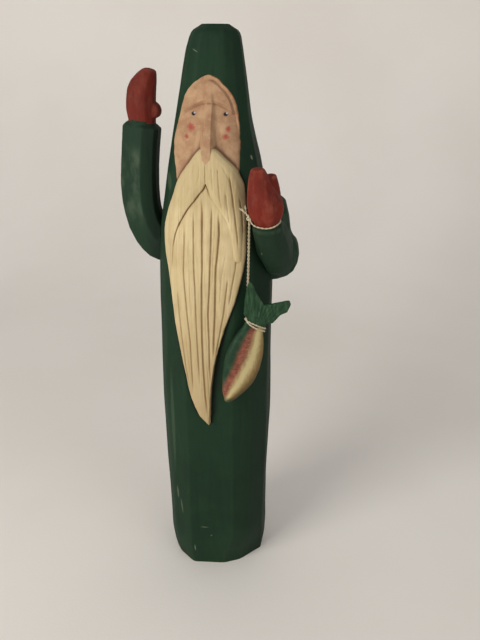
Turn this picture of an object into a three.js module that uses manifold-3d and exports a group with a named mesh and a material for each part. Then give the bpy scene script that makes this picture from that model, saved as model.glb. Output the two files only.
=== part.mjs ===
// A tall carved and painted wooden santa: one hewn post makes robe, hood, face and beard.
// One arm is raised, the other is bent forward and holds a carved trout on a cotton twine.
// Millimetres, +Z up, the figure faces -Y, its left side is +X, origin at the underside's centre.

import * as THREE from 'three';
import { mergeVertices } from 'three/addons/utils/BufferGeometryUtils.js';
import Module from 'manifold-3d';

const wasm = await Module();
wasm.setup();

// Overall sizes of the carved post
const height = 457;
const robeWidth = 90.0;
const robeDepth = 84.0;

// Clearance kept between separate pieces, the thickness of a glue line
const gap = 0.3;

// Beard, moustache and face relief
const beardRise = 2.8;
const beardEdgeRise = 1.2;
const gougeDepth = 1.6;
const lockCount = 10;
const moustacheRise = 2.2;
const faceRecess = 2.2;
const browDepth = 2.0;
const noseWidth = 9.8;
const noseRise = 7.0;

// Raised arm
const raisedSleeveWidth = 28.2;
const raisedSleeveDepth = 27.0;
const raisedReach = 15.9;
const raisedMittenWidth = 21.2;
const raisedMittenDepth = 20.0;
const raisedMittenHeight = 41.5;

// Bent arm
const upperArmDepth = 27.0;
const upperArmStandOff = 15.4;
const forearmWidth = 23.6;
const forearmThickness = 29.0;
const bentMittenWidth = 24.6;
const bentMittenDepth = 21.0;
const bentMittenHeight = 37.4;
const wristWidth = 17.0;
const wristDepth = 14.0;
const wristGroove = 2.8;

// Trout
const fishWidth = 31.0;
const fishThickness = 13.0;
const fishLength = 67.0;
const tailThickness = 4.0;
const tailLength = 31.5;

// Twine
const twineDiameter = 1.6;
const twineClearance = 0.5;

const V = (x, y, z) => new THREE.Vector3(x, y, z);
const { lerp, smoothstep, degToRad } = THREE.MathUtils;

// Post's outline: share of the height, share of the half width, drift sideways as a share of the width
const taper = [
  [0.000, 0.880, 0.020], [0.022, 0.918, 0.013], [0.053, 0.953, 0.005], [0.160, 0.966, -0.001],
  [0.270, 0.976, -0.003], [0.355, 0.993, -0.006], [0.450, 1.000, -0.009], [0.560, 0.994, -0.006],
  [0.617, 0.982, -0.003], [0.668, 0.945, -0.004], [0.716, 0.884, -0.005], [0.790, 0.761, -0.012],
  [0.862, 0.611, -0.024], [0.926, 0.510, -0.017], [0.965, 0.440, -0.011], [0.983, 0.395, -0.005],
  [0.991, 0.358, -0.003], [1.000, 0.205, -0.002],
];

// Corners of the hewn section as shares of the half width and the half depth, then the same at the foot
const corners = [
  [-0.46, -0.94], [0.42, -0.94], [0.74, -0.72], [1.00, -0.30], [1.00, 0.34], [0.80, 0.74],
  [0.42, 0.97], [-0.40, 0.97], [-0.79, 0.76], [-1.00, 0.34], [-1.00, -0.28], [-0.84, -0.66],
];
const footCorners = [
  [-0.50, -0.87], [0.21, -0.81], [0.57, -0.62], [0.99, -0.10], ...corners.slice(4, 11), [-0.88, -0.51],
];
const footChamfer = 0.09;

// Straight-line reading of a table of stations whose first column rises
function read(table, key, column = 1) {
  if (key <= table[0][0]) return table[0][column];
  for (let i = 1; i < table.length; i += 1) {
    if (key <= table[i][0]) {
      const t = (key - table[i - 1][0]) / (table[i][0] - table[i - 1][0]);
      return lerp(table[i - 1][column], table[i][column], t);
    }
  }
  return table[table.length - 1][column];
}

const halfWidthAt = (z) => read(taper, z / height) * robeWidth / 2;
const halfDepthAt = (z) => read(taper, z / height) * robeDepth / 2;
const driftAt = (z) => read(taper, z / height, 2) * robeWidth;

// The knife leaves each long edge a little uneven
const hewnUnevenness = 0.011;
function cornerAt(index, z, grow = 0) {
  const wander = 1 + hewnUnevenness * Math.sin(5.3 * index + 17 * z / height);
  const foot = footCorners[index];
  const t = smoothstep(z / height, 0, footChamfer);
  const x = lerp(foot[0], corners[index][0], t) * halfWidthAt(z) * wander;
  const y = lerp(foot[1], corners[index][1], t) * halfDepthAt(z) * wander;
  const point = new THREE.Vector2(x, y);
  point.addScaledVector(point.clone().normalize(), grow * 1.06);
  point.x += driftAt(z);
  return point;
}

// Front face of the hewn post at a given place across
const frontCorners = [10, 11, 0, 1, 2, 3];
function hewnFront(x, z) {
  return read(frontCorners.map((index) => cornerAt(index, z).toArray()), x);
}

// Rounded front that beard and face are carved to
const frontRoundness = 2.5;
function roundFront(x, z) {
  const share = Math.min(Math.abs(x - driftAt(z)) / halfWidthAt(z), 0.995);
  return -halfDepthAt(z) * (1 - share ** frontRoundness) ** (1 / frontRoundness);
}

// A closed three.js geometry becomes a solid once each vertex has its place
function shaped(geometry, place) {
  const points = geometry.attributes.position;
  for (let i = 0; i < points.count; i += 1) {
    const moved = place(points.getX(i), points.getY(i), points.getZ(i));
    points.setXYZ(i, moved.x, moved.y, moved.z);
  }
  return solid(geometry);
}

function solid(geometry) {
  const bare = geometry.clone();
  bare.deleteAttribute('normal');
  bare.deleteAttribute('uv');
  const merged = mergeVertices(bare, 1e-4);
  const vertProperties = new Float32Array(merged.attributes.position.array);
  const triVerts = new Uint32Array(merged.index.array);
  if (signedVolume(vertProperties, triVerts) < 0) {
    for (let i = 0; i < triVerts.length; i += 3) {
      [triVerts[i], triVerts[i + 1]] = [triVerts[i + 1], triVerts[i]];
    }
  }
  return new wasm.Manifold(new wasm.Mesh({ numProp: 3, vertProperties, triVerts }));
}

function signedVolume(points, triangles) {
  const [a, b, c] = [V(0, 0, 0), V(0, 0, 0), V(0, 0, 0)];
  let sum = 0;
  for (let i = 0; i < triangles.length; i += 3) {
    a.fromArray(points, 3 * triangles[i]);
    b.fromArray(points, 3 * triangles[i + 1]);
    c.fromArray(points, 3 * triangles[i + 2]);
    sum += a.dot(b.cross(c));
  }
  return sum;
}

function mesh(name, body, color, roughness) {
  const data = body.getMesh();
  const geometry = new THREE.BufferGeometry();
  geometry.setAttribute('position', new THREE.BufferAttribute(data.vertProperties, 3));
  geometry.setIndex(new THREE.BufferAttribute(data.triVerts, 1));
  geometry.computeVertexNormals();
  const result = new THREE.Mesh(geometry, new THREE.MeshStandardMaterial({ color, roughness, metalness: 0 }));
  result.name = name;
  return result;
}

// Grid index of a unit box's or unit cylinder's vertex, and a unit cylinder vertex's place round the axis
const step = (value, count) => Math.round((value + 0.5) * count);
const around = (x, z, count) => Math.round(((Math.atan2(z, x) / (2 * Math.PI) + 1) % 1) * count) % count;
const onAxis = (x, z) => Math.hypot(x, z) < 0.5;

// Post: a prism of twelve hewn facets that follows the taper
function post(grow = 0) {
  const rows = taper.length - 1;
  const prism = new THREE.CylinderGeometry(1, 1, 1, corners.length, rows);
  return shaped(prism, (x, y, z) => {
    const station = step(y, rows);
    const level = taper[station][0] * height;
    const out = station === 0 ? -grow : station === rows ? grow : 0;
    if (onAxis(x, z)) return V(driftAt(level), 0, level + out);
    const corner = cornerAt(around(x, z, corners.length), level, grow);
    return V(corner.x, corner.y, level + out);
  });
}

// Opening of the hood: share of the height, reach to the right and the left as shares of the width
const opening = [
  [0.762, -0.275, 0.232], [0.790, -0.292, 0.231], [0.812, -0.312, 0.230], [0.830, -0.322, 0.228],
  [0.849, -0.296, 0.221], [0.873, -0.258, 0.205], [0.890, -0.234, 0.183], [0.905, -0.196, 0.143],
  [0.914, -0.154, 0.099], [0.922, -0.100, 0.055], [0.927, -0.046, 0.030],
];
const openingTop = opening[opening.length - 1][0] * height;
const openingBottom = opening[0][0] * height;

// Face in plain proportions: brow near a third of the way from hood to nose tip, eyes below it
const faceCentre = -0.017 * robeWidth;
const noseTip = 0.805 * height;
const faceLength = openingTop - noseTip;
const browLine = openingTop - 0.30 * faceLength;
const browArch = 0.17 * faceLength;
const hollowHeight = 0.32 * faceLength;
const faceColumns = [-1, -0.91, -0.78, -0.62, -0.45, -0.3, -0.15, 0, 0.15, 0.3, 0.45, 0.62, 0.78, 0.9, 1];
// Rows from the beard up: share of the face length below the hood's edge, and how far a row follows the brow
const faceRows = [
  [(openingTop - openingBottom) / faceLength, 0], [1.12, 0], [0.94, 0], [0.80, 0.15], [0.68, 0.4],
  [0.58, 0.7], [0.49, 0.9], [0.41, 1], [0.345, 1], [0.315, 1], [0.297, 1], [0.255, 0.85], [0.19, 0.55],
  [0.13, 0.3], [0.08, 0.12], [0.035, 0], [0, 0],
];

function faceSink(across, z) {
  const below = browLine - browArch * across * across - z;
  const under = smoothstep(below, -0.2, 1.2);
  const cheek = smoothstep(below, 1.2, hollowHeight);
  const forehead = smoothstep(-below, 0, 0.3 * faceLength);
  const middle = 1 - 0.5 * across * across;
  const hollow = browDepth * under * (1 - 0.8 * cheek) * middle;
  return faceRecess * (1 - 0.45 * cheek) + hollow + 0.5 * forehead;
}

const faceFlatness = 0.97;
function faceAt(across, x, z) {
  return roundFront(x, z) * faceFlatness + faceSink(across, z);
}

function faceCutter() {
  const columns = faceColumns.length - 1;
  const rows = faceRows.length - 1;
  const block = new THREE.BoxGeometry(1, 1, 1, columns, 1, rows);
  return shaped(block, (x, y, z) => {
    const u = faceColumns[step(x, columns)];
    const [share, follow] = faceRows[step(z, rows)];
    const level = openingTop - share * faceLength - follow * browArch * u * u;
    const edge = read(opening, level / height, u < 0 ? 1 : 2) * robeWidth;
    const place = lerp(faceCentre, edge, Math.abs(u));
    if (y < 0) return V(place, -robeDepth, level);
    const rim = Math.abs(u) === 1 || share === 0;
    return V(place, rim ? hewnFront(place, level) - 0.4 : faceAt(u, place, level), level);
  });
}

// Long wedge nose: share of the way down, width at its foot, width of its ridge, rise
const noseStations = [
  [-0.05, 0.66, 0.36, 0.04], [0.05, 0.64, 0.40, 0.34], [0.45, 0.76, 0.48, 0.62], [0.72, 0.96, 0.60, 0.92],
  [0.82, 1.00, 0.62, 1.00], [1.00, 0.24, 0.12, 0.80],
];
const noseLean = -0.4;
const noseRoot = 8;
function nose() {
  const rows = noseStations.length - 1;
  const wedge = new THREE.BoxGeometry(1, 1, 1, 3, 1, rows);
  return shaped(wedge, (x, y, z) => {
    const [along, foot, ridge, rise] = noseStations[rows - step(z, rows)];
    const level = lerp(browLine, noseTip, along);
    const column = step(x, 3);
    const onRidge = column === 1 || column === 2;
    const side = Math.sign(x) * noseWidth / 2;
    const base = roundFront(faceCentre, level) * faceFlatness + faceRecess;
    const place = faceCentre + noseLean * along + side * (onRidge ? ridge : foot);
    if (y > 0) return V(place, base + noseRoot, level);
    return V(place, base - noseRise * rise * (onRidge ? 1 : 0.28), level);
  });
}

// Beard: share of the height, reach to the right and the left as shares of the width
const beardOutline = [
  [0.343, -0.010, 0.016], [0.359, -0.092, 0.030], [0.395, -0.166, 0.036], [0.434, -0.204, 0.048],
  [0.479, -0.250, 0.083], [0.530, -0.296, 0.148], [0.578, -0.324, 0.225], [0.625, -0.354, 0.279],
  [0.652, -0.383, 0.300], [0.685, -0.400, 0.303], [0.700, -0.393, 0.301], [0.728, -0.351, 0.291],
  [0.750, -0.306, 0.278], [0.777, -0.257, 0.258], [0.792, -0.202, 0.219], [0.804, -0.148, 0.158],
  [0.816, -0.079, 0.059],
];
const beardBottom = beardOutline[0][0] * height;
const beardTop = beardOutline[beardOutline.length - 1][0] * height;
const beardRows = 44;
const beardColumns = 2 * lockCount;
const lockWander = 0.022;

function beard() {
  const block = new THREE.BoxGeometry(1, 1, 1, beardColumns, 1, beardRows);
  return shaped(block, (x, y, z) => {
    const column = step(x, beardColumns);
    const along = step(z, beardRows) / beardRows;
    const level = lerp(beardBottom, beardTop, along);
    const left = read(beardOutline, level / height, 1) * robeWidth;
    const right = read(beardOutline, level / height, 2) * robeWidth;
    const inner = column > 0 && column < beardColumns;
    const even = 2 * column / beardColumns - 1;
    const wander = inner ? lockWander * Math.sin(9 * along + 1.9 * column) * (1 - even * even) : 0;
    const u = even + wander;
    const place = lerp(left, right, (u + 1) / 2);
    if (y > 0) return V(place * 0.9, -0.25 * robeDepth * (1 - 0.4 * u * u), level);
    const crown = Math.sqrt(Math.max(0, 1 - u * u));
    const fine = Math.min(1, (right - left) / (0.35 * robeWidth));
    const depth = gougeDepth * fine * (0.75 + 0.25 * Math.sin(3.7 * column));
    const groove = inner && column % 2 === 0 ? depth : 0;
    return V(place, roundFront(place, level) - lerp(beardEdgeRise, beardRise, crown) + groove, level);
  });
}

// Moustache: each lobe sweeps from under the nose out to the beard's edge, inner and outer reach by height
const lobes = {
  right: {
    outer: [[0.636, -0.366], [0.652, -0.382], [0.685, -0.398], [0.700, -0.391], [0.728, -0.349],
      [0.750, -0.304], [0.767, -0.276], [0.780, -0.242], [0.792, -0.196], [0.805, -0.147], [0.814, -0.112],
      [0.821, -0.068]],
    inner: [[0.636, -0.350], [0.652, -0.309], [0.676, -0.289], [0.698, -0.257], [0.718, -0.204],
      [0.734, -0.149], [0.748, -0.095], [0.759, -0.042], [0.772, -0.020], [0.821, -0.019]],
  },
  left: {
    outer: [[0.643, 0.300], [0.685, 0.302], [0.709, 0.300], [0.737, 0.288], [0.766, 0.269], [0.778, 0.244],
      [0.791, 0.211], [0.801, 0.165], [0.809, 0.118], [0.817, 0.074], [0.821, 0.044]],
    inner: [[0.643, 0.262], [0.662, 0.240], [0.678, 0.212], [0.700, 0.178], [0.720, 0.123], [0.737, 0.055],
      [0.756, -0.009], [0.772, -0.018], [0.821, -0.018]],
  },
};
const lobeRows = 24;
const lobeColumns = 6;
const lobeLock = 0.42;
function lobe({ outer, inner }) {
  const block = new THREE.BoxGeometry(1, 1, 1, lobeColumns, 1, lobeRows);
  return shaped(block, (x, y, z) => {
    const column = step(x, lobeColumns);
    const share = lerp(outer[0][0], outer[outer.length - 1][0], step(z, lobeRows) / lobeRows);
    const level = share * height;
    const t = column / lobeColumns;
    const place = lerp(read(inner, share), read(outer, share), t) * robeWidth;
    if (y > 0) return V(place * 0.94, -0.25 * robeDepth, level);
    const crown = 1 - 0.5 * (2 * t - 1) ** 2;
    const groove = column % 2 === 0 && column > 0 && column < lobeColumns ? lobeLock * gougeDepth : 0;
    const base = roundFront(place, level) - 0.4 * beardRise;
    return V(place, base - moustacheRise * crown + groove, level);
  });
}

// Eight-sided section with cut corners, swept along stations; one axis of the section stays with the guide
const cut = 0.44;
const octagon = [[1, cut], [cut, 1], [-cut, 1], [-1, cut], [-1, -cut], [-cut, -1], [cut, -1], [1, -cut]];
function swept(stations, guide, guideIsDeep = false, section = octagon) {
  const rows = stations.length - 1;
  const bar = new THREE.CylinderGeometry(1, 1, 1, 8, rows);
  return shaped(bar, (x, y, z) => {
    const { at, width, depth, facing } = stations[step(y, rows)];
    if (onAxis(x, z)) return at.clone();
    const along = facing.clone().normalize();
    const first = guide.clone().addScaledVector(along, -guide.dot(along)).normalize();
    const second = new THREE.Vector3().crossVectors(along, first);
    const [across, deep] = guideIsDeep ? [second, first] : [first, second];
    const [p, q] = section[around(x, z, 8)];
    return at.clone().addScaledVector(across, p * width / 2).addScaledVector(deep, q * depth / 2);
  });
}
// The raised sleeve has one wide facet towards the front and the outside
const sleeveSection = [...octagon.slice(0, 4), [-1, -0.34], [-0.88, -0.74], [-0.25, -1], [1, -0.42]];
const acrossX = V(1, 0, 0);
const deepY = V(0, 1, 0);

// Raised arm: a sleeve bent like a J from the robe's side up to the cuff, then an upright mitten
const robeSide = halfWidthAt(0.45 * height);
const cuffLevel = 0.845 * height;
const seatLevel = 0.6475 * height;
const sleeveRise = cuffLevel - seatLevel;
// Share of the rise, share of the reach, share of the width, turn of the sleeve away from upright
const raisedSleeve = [
  [-0.018, -0.90, 0.98, 86], [0.012, 0.00, 0.98, 80], [0.028, 0.17, 0.98, 61], [0.054, 0.31, 0.97, 45],
  [0.104, 0.51, 0.97, 31], [0.192, 0.75, 0.98, 18], [0.305, 0.91, 0.98, 10], [0.385, 0.97, 0.99, 2],
  [0.530, 1.00, 1.00, -2], [0.690, 0.95, 0.98, -5], [0.850, 0.86, 0.97, -6], [1.000, 0.765, 0.98, -6],
];
// Above the cuff's outer edge the sleeve is bevelled in towards the mitten
const cuffBevel = 4.0;
const cuffMouth = 0.80;
// Share of the mitten's height, offset from the cuff's middle, width, depth, turn
const raisedMitten = [
  [-0.17, -0.9, 0.86, 0.84, 0], [0.08, -0.9, 0.92, 0.90, 0], [0.30, -0.3, 1.00, 1.00, 0],
  [0.48, -0.5, 1.00, 1.00, 0], [0.65, -1.4, 0.97, 0.95, -6], [0.76, -3.0, 0.88, 0.88, -12],
  [0.87, -5.8, 0.68, 0.76, -20], [0.95, -8.6, 0.42, 0.56, -30], [0.985, -10.2, 0.20, 0.36, -30],
];
const raisedThumb = [
  [0.07, -8.9, 0.30, 0.50], [0.22, -12.2, 0.34, 0.54], [0.32, -12.7, 0.32, 0.48], [0.40, -12.2, 0.24, 0.38],
  [0.45, -10.8, 0.12, 0.24],
];
function raisedArm() {
  const middle = -(robeSide + raisedReach * raisedSleeve[raisedSleeve.length - 1][1]);
  const turned = (degrees) => V(-Math.sin(degToRad(degrees)), 0, Math.cos(degToRad(degrees)));
  const stations = raisedSleeve.map(([rise, reach, width, turn]) => ({
    at: V(-(robeSide + raisedReach * reach), 0, seatLevel + rise * sleeveRise),
    width: width * raisedSleeveWidth,
    depth: raisedSleeveDepth,
    facing: turned(turn),
  }));
  stations.push({
    at: V(middle, 0, cuffLevel + cuffBevel),
    width: cuffMouth * raisedSleeveWidth,
    depth: cuffMouth * raisedSleeveDepth,
    facing: turned(raisedSleeve[raisedSleeve.length - 1][3]),
  });
  const sleeve = swept(stations, deepY, true, sleeveSection);
  const mitten = swept(raisedMitten.map(([rise, shift, width, depth, turn]) => ({
    at: V(middle - shift, -1, cuffLevel + rise * raisedMittenHeight),
    width: width * raisedMittenWidth,
    depth: depth * raisedMittenDepth,
    facing: turned(turn),
  })), acrossX);
  const thumb = swept(raisedThumb.map(([rise, shift, width, depth]) => ({
    at: V(middle - shift, -3, cuffLevel + rise * raisedMittenHeight),
    width: width * raisedMittenWidth,
    depth: depth * raisedMittenDepth,
    facing: V(0, 0, 1),
  })), acrossX);
  return sleeve.add(mitten).add(thumb).subtract(post(gap));
}

// Bent arm: upper arm flat on the robe's side, forearm forward and up, mitten upright at the wrist
const elbow = V(robeSide + 0.64 * upperArmStandOff, 0.07 * upperArmDepth, 0.634 * height);
const wrist = V(robeSide - 1.4, -0.524 * robeDepth, 0.7145 * height);
const mittenTilt = V(-0.04, -0.16, 1).normalize();
const cuffFacing = V(-0.07, -0.34, 0.94).normalize();
const onWrist = (rise, dx = 0, dy = 0) => wrist.clone().addScaledVector(mittenTilt, rise).add(V(dx, dy, 0));
// Share of the height, share of the stand-off from the robe's side, share of the depth
const upperArm = [
  [0.742, 0.60, 0.62], [0.731, 0.94, 0.88], [0.704, 1.02, 1.00], [0.674, 1.06, 1.00], [0.640, 1.12, 1.00],
  [0.612, 0.90, 0.90], [0.595, 0.30, 0.64],
];
// Share of the way from elbow to wrist, sag below the line, width, thickness
const forearm = [
  [-0.21, 0.4, 0.46, 0.58], [-0.13, 0.8, 0.78, 0.96], [0.03, 1.4, 1.02, 1.18], [0.26, 2.4, 1.14, 1.24],
  [0.52, 2.2, 1.14, 1.10], [0.78, 0.8, 1.02, 0.86],
];

// Share of the mitten's height over the groove, shift across, width, depth; the first two face along the cuff
const bentMitten = [
  [0.00, 0.0, 0.76, 0.76], [0.09, -0.2, 0.90, 0.90], [0.20, -0.4, 0.99, 0.98], [0.36, -0.8, 1.02, 1.00],
  [0.55, -1.3, 0.94, 0.95], [0.72, -2.3, 0.80, 0.86], [0.87, -3.6, 0.61, 0.68], [0.99, -5.0, 0.38, 0.42],
];
const bentThumb = [
  [0.30, 5.0, 0.40, 0.56], [0.56, 5.2, 0.42, 0.62], [0.76, 3.5, 0.36, 0.52], [0.865, 2.2, 0.25, 0.36],
];
function bentArm() {
  const inside = 0.6 * robeSide;
  const upper = swept(upperArm.map(([share, out, depth]) => {
    const side = halfWidthAt(share * height) + out * upperArmStandOff;
    return {
      at: V((side + inside) / 2, 1, share * height),
      width: side - inside,
      depth: depth * upperArmDepth,
      facing: V(0, 0, -1),
    };
  }), acrossX);
  const along = wrist.clone().sub(elbow);
  const stations = forearm.map(([share, sag, width, thick]) => ({
    at: elbow.clone().addScaledVector(along, share).add(V(-sag, 0, -sag)),
    width: width * forearmWidth,
    depth: thick * forearmThickness,
    facing: along,
  }));
  stations.push({
    at: wrist.clone().addScaledVector(cuffFacing, -2.2),
    width: wristWidth + 4.6,
    depth: wristDepth + 5.4,
    facing: cuffFacing,
  });
  stations.push({ at: wrist, width: wristWidth + 2.6, depth: wristDepth + 3.0, facing: cuffFacing });
  const fore = swept(stations, acrossX);
  const wristStations = [-5, wristGroove].map((rise) => ({
    at: wrist.clone().addScaledVector(cuffFacing, rise),
    width: wristWidth,
    depth: wristDepth,
    facing: cuffFacing,
  }));
  const mitten = swept(wristStations.concat(bentMitten.map(([rise, shift, width, depth], index) => ({
    at: onWrist(wristGroove + 0.5 + rise * bentMittenHeight, shift),
    width: width * bentMittenWidth,
    depth: depth * bentMittenDepth,
    facing: index < 2 ? cuffFacing : mittenTilt,
  }))), acrossX);
  const thumb = swept(bentThumb.map(([rise, shift, width, depth]) => ({
    at: onWrist(wristGroove + rise * bentMittenHeight, shift, 3.6),
    width: width * bentMittenWidth,
    depth: depth * bentMittenDepth,
    facing: mittenTilt,
  })), acrossX);
  return upper.add(fore).add(mitten).add(thumb).subtract(post(gap));
}

// Trout: hangs head down by its tail, its flat side laid against the robe's front left facets
const fishTurn = degToRad(24);
const fishLean = degToRad(21);
const outward = V(Math.sin(fishTurn), -Math.cos(fishTurn), 0);
const sidewards = V(Math.cos(fishTurn), Math.sin(fishTurn), 0);
const fishHangs = 0.538 * height;
const support = Math.max(...corners.map((corner, index) => {
  const point = cornerAt(index, fishHangs);
  return point.x * outward.x + point.y * outward.y;
}));
const fishOut = support + fishThickness / 2 + 2 * gap;
const fishSide = 0.192 * robeWidth;
const tailKnot = sidewards.clone().multiplyScalar(fishSide).addScaledVector(outward, fishOut)
  .add(V(0, 0, fishHangs));
const fishDown = V(0, 0, -Math.cos(fishLean)).addScaledVector(sidewards, -Math.sin(fishLean));
const fishAcross = new THREE.Vector3().crossVectors(outward, fishDown).normalize();
const fishPoint = (down, across, out) => tailKnot.clone().addScaledVector(fishDown, down)
  .addScaledVector(fishAcross, across).addScaledVector(outward, out);

// Trout's outline from the tied tail to the nose: share of length, back and belly reach, thickness
const tiedBack = 0.300;
const tiedBelly = 0.235;
const tiedThickness = 0.54;
const troutStations = [
  [-0.10, 0.34, 0.30, 0.40], [-0.055, tiedBack, tiedBelly, tiedThickness],
  [0.050, tiedBack, tiedBelly, tiedThickness],
  [0.120, 0.37, 0.32, 0.74], [0.22, 0.42, 0.41, 0.86], [0.33, 0.46, 0.48, 0.95], [0.50, 0.44, 0.535, 1.00],
  [0.66, 0.35, 0.52, 0.98], [0.79, 0.26, 0.41, 0.88], [0.91, 0.155, 0.25, 0.68], [0.97, 0.06, 0.17, 0.50],
  [1.00, 0.01, 0.11, 0.30],
];
const troutSection = [
  [1, 0.16], [0.78, 0.66], [0.30, 0.98], [-0.30, 0.98], [-0.78, 0.66], [-1, 0.16],
  [-1, -0.16], [-0.78, -0.66], [-0.30, -0.98], [0.30, -0.98], [0.78, -0.66], [1, -0.16],
];
const rootShare = 0.8;
const tailOutline = [
  [-rootShare * tiedBack, -4.0], [-rootShare * tiedBack, 3.6], [-0.39, 5.4],
  [-0.52, 0.56 * tailLength], [-0.58, 0.84 * tailLength],
  [-0.57, tailLength], [-0.50, 0.98 * tailLength], [-0.28, 0.76 * tailLength], [0.0, 0.55 * tailLength],
  [0.29, 0.68 * tailLength], [0.60, 0.83 * tailLength], [0.66, 0.76 * tailLength], [0.65, 0.54 * tailLength],
  [0.50, 0.42 * tailLength], [0.38, 5.6],
  [rootShare * tiedBelly, 3.6], [rootShare * tiedBelly, -4.0],
];
function trout() {
  const rows = troutStations.length - 1;
  const sides = troutSection.length;
  const bar = new THREE.CylinderGeometry(1, 1, 1, sides, rows);
  const body = shaped(bar, (x, y, z) => {
    const [share, back, belly, thick] = troutStations[rows - step(y, rows)];
    const down = share * fishLength;
    const middle = (belly - back) * fishWidth / 2;
    if (onAxis(x, z)) return fishPoint(down, middle, 0);
    const [p, q] = troutSection[around(x, z, sides)];
    return fishPoint(down, middle + p * (back + belly) * fishWidth / 2, q * thick * fishThickness / 2);
  });
  const fin = new THREE.Shape(tailOutline.map(([across, up]) => new THREE.Vector2(across * fishWidth, up)));
  const slab = new THREE.ExtrudeGeometry(fin, { depth: tailThickness, bevelEnabled: false });
  return body.add(shaped(slab, (x, y, z) => fishPoint(-y, x, z - tailThickness / 2)));
}

// Twine: free end, once round the wrist's groove, down behind the trout's tail and twice round its root
const cornerReach = 1.07;
const aroundWrist = [wristWidth / 2, wristDepth / 2].map((reach) => reach * cornerReach + twineDiameter / 2
  + twineClearance);
const wristDeep = new THREE.Vector3().crossVectors(cuffFacing, acrossX).normalize();
const wristAcross = new THREE.Vector3().crossVectors(wristDeep, cuffFacing).normalize();
// The knot is drawn out to the left of the wrist, so the turn widens and rises towards it
function wristTurn(degrees) {
  const angle = degToRad(degrees);
  const out = Math.max(0, -Math.cos(angle) - 0.3);
  return wrist.clone().addScaledVector(cuffFacing, wristGroove * 0.5 + 2.0 * out)
    .addScaledVector(wristAcross, aroundWrist[0] * (1 + 0.38 * out) * Math.cos(angle))
    .addScaledVector(wristDeep, aroundWrist[1] * Math.sin(angle));
}
function tailTurn(degrees, down) {
  const angle = degToRad(degrees);
  const end = tiedThickness * fishThickness / 2 + twineDiameter / 2 + twineClearance + 0.5;
  const flat = (tiedBack + tiedBelly) * fishWidth / 2 + twineDiameter / 2 + twineClearance - end;
  const side = Math.sign(Math.cos(angle)) * Math.min(1, 1.6 * Math.abs(Math.cos(angle)));
  const middle = (tiedBelly - tiedBack) * fishWidth / 2;
  return fishPoint(down, middle + flat * side + end * Math.cos(angle), end * Math.sin(angle));
}
const freeEnd = [[-7.4, -1.0, 11.2], [-4.6, -1.2, 8.2], [-2.2, -0.8, 4.6]];
const hangingSteps = 18;
const tailSteps = 28;
const tailWinding = 3.6;
function twineRoute() {
  const knot = wristTurn(205);
  const points = freeEnd.map(([x, y, z]) => knot.clone().add(V(x, y, z)));
  for (let degrees = 205; degrees <= 520; degrees += 22.5) points.push(wristTurn(degrees));
  const from = wrist.clone().add(V(-1.24 * aroundWrist[0], 0.24 * aroundWrist[1], 0.6));
  const behind = -(tailThickness + twineDiameter) / 2 - twineClearance - 1.8;
  const to = fishPoint(-0.22 * tailLength, -0.16 * fishWidth, behind);
  for (let i = 0; i <= hangingSteps; i += 1) points.push(from.clone().lerp(to, i / hangingSteps));
  for (let i = 0; i <= tailSteps; i += 1) {
    points.push(tailTurn(-90 + 22.5 * i, tailWinding * (i / tailSteps - 0.53)));
  }
  return points;
}

// The route's own points are the tube's rings
class Route extends THREE.CatmullRomCurve3 {
  getPointAt(share, target) {
    return this.getPoint(share, target);
  }

  getTangentAt(share, target) {
    return this.getTangent(share, target);
  }
}
const twineSides = 8;
function twine() {
  const points = twineRoute();
  const ring = [];
  for (let i = 0; i < twineSides; i += 1) {
    const angle = 2 * Math.PI * i / twineSides;
    ring.push(new THREE.Vector2(Math.cos(angle), Math.sin(angle)).multiplyScalar(twineDiameter / 2));
  }
  const tube = new THREE.ExtrudeGeometry(new THREE.Shape(ring), {
    steps: points.length - 1,
    extrudePath: new Route(points, false, 'centripetal'),
    bevelEnabled: false,
  });
  return solid(tube);
}

const group = new THREE.Group();
const hood = post().subtract(faceCutter()).add(nose());
const carving = hood.add(beard()).add(lobe(lobes.right)).add(lobe(lobes.left));
const green = 0x21382a;
group.add(mesh('carved_body', carving, green, 0.55));
group.add(mesh('raised_arm', raisedArm(), green, 0.55));
group.add(mesh('bent_arm', bentArm(), green, 0.55));
group.add(mesh('trout', trout(), 0x5d6b45, 0.5));
group.add(mesh('twine', twine(), 0xcdbf98, 0.95));

export default group;
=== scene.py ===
# %% [markdown]
# # A carved and painted santa with a trout on a twine
# The real object is a tall folk carving. One post of soft wood is hewn with a knife into a long robe with a
# pointed hood, and the face, the moustache and the long beard are cut into its front. Two small arms are carved
# apart and glued to its sides, and a flat carved trout hangs on cotton twine from the left wrist. The part's
# solids already have the sizes and the pose, so this lesson loads them as a fixed frame and dresses each one
# with a finer piece of the same form.

# %% Load the frame
import math

import bmesh
import bpy
import numpy as np
from mathutils import Matrix, Vector, noise


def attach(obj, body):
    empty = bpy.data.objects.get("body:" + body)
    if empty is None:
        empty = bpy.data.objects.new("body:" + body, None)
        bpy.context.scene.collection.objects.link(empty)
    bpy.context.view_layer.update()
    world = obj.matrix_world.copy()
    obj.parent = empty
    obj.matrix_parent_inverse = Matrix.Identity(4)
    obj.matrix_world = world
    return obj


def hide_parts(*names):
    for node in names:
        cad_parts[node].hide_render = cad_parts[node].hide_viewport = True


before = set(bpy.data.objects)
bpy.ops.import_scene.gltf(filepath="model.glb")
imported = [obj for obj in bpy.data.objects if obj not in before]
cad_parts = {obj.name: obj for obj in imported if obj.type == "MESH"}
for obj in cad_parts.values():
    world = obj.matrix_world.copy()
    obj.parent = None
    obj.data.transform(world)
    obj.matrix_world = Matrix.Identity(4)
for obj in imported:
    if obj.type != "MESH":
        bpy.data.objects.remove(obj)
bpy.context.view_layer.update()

MM = 0.001

# %% [markdown]
# ## Camera
# The photograph looks down on the figure from a little above its head, from close by and slightly from its
# left. A long lens far away would make the base as wide as the hood, so the distance matters as much as the
# angle. The camera is placed by its measured pitch, roll and heading, because a camera that is aimed at a
# point can't hold the small roll.

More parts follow.
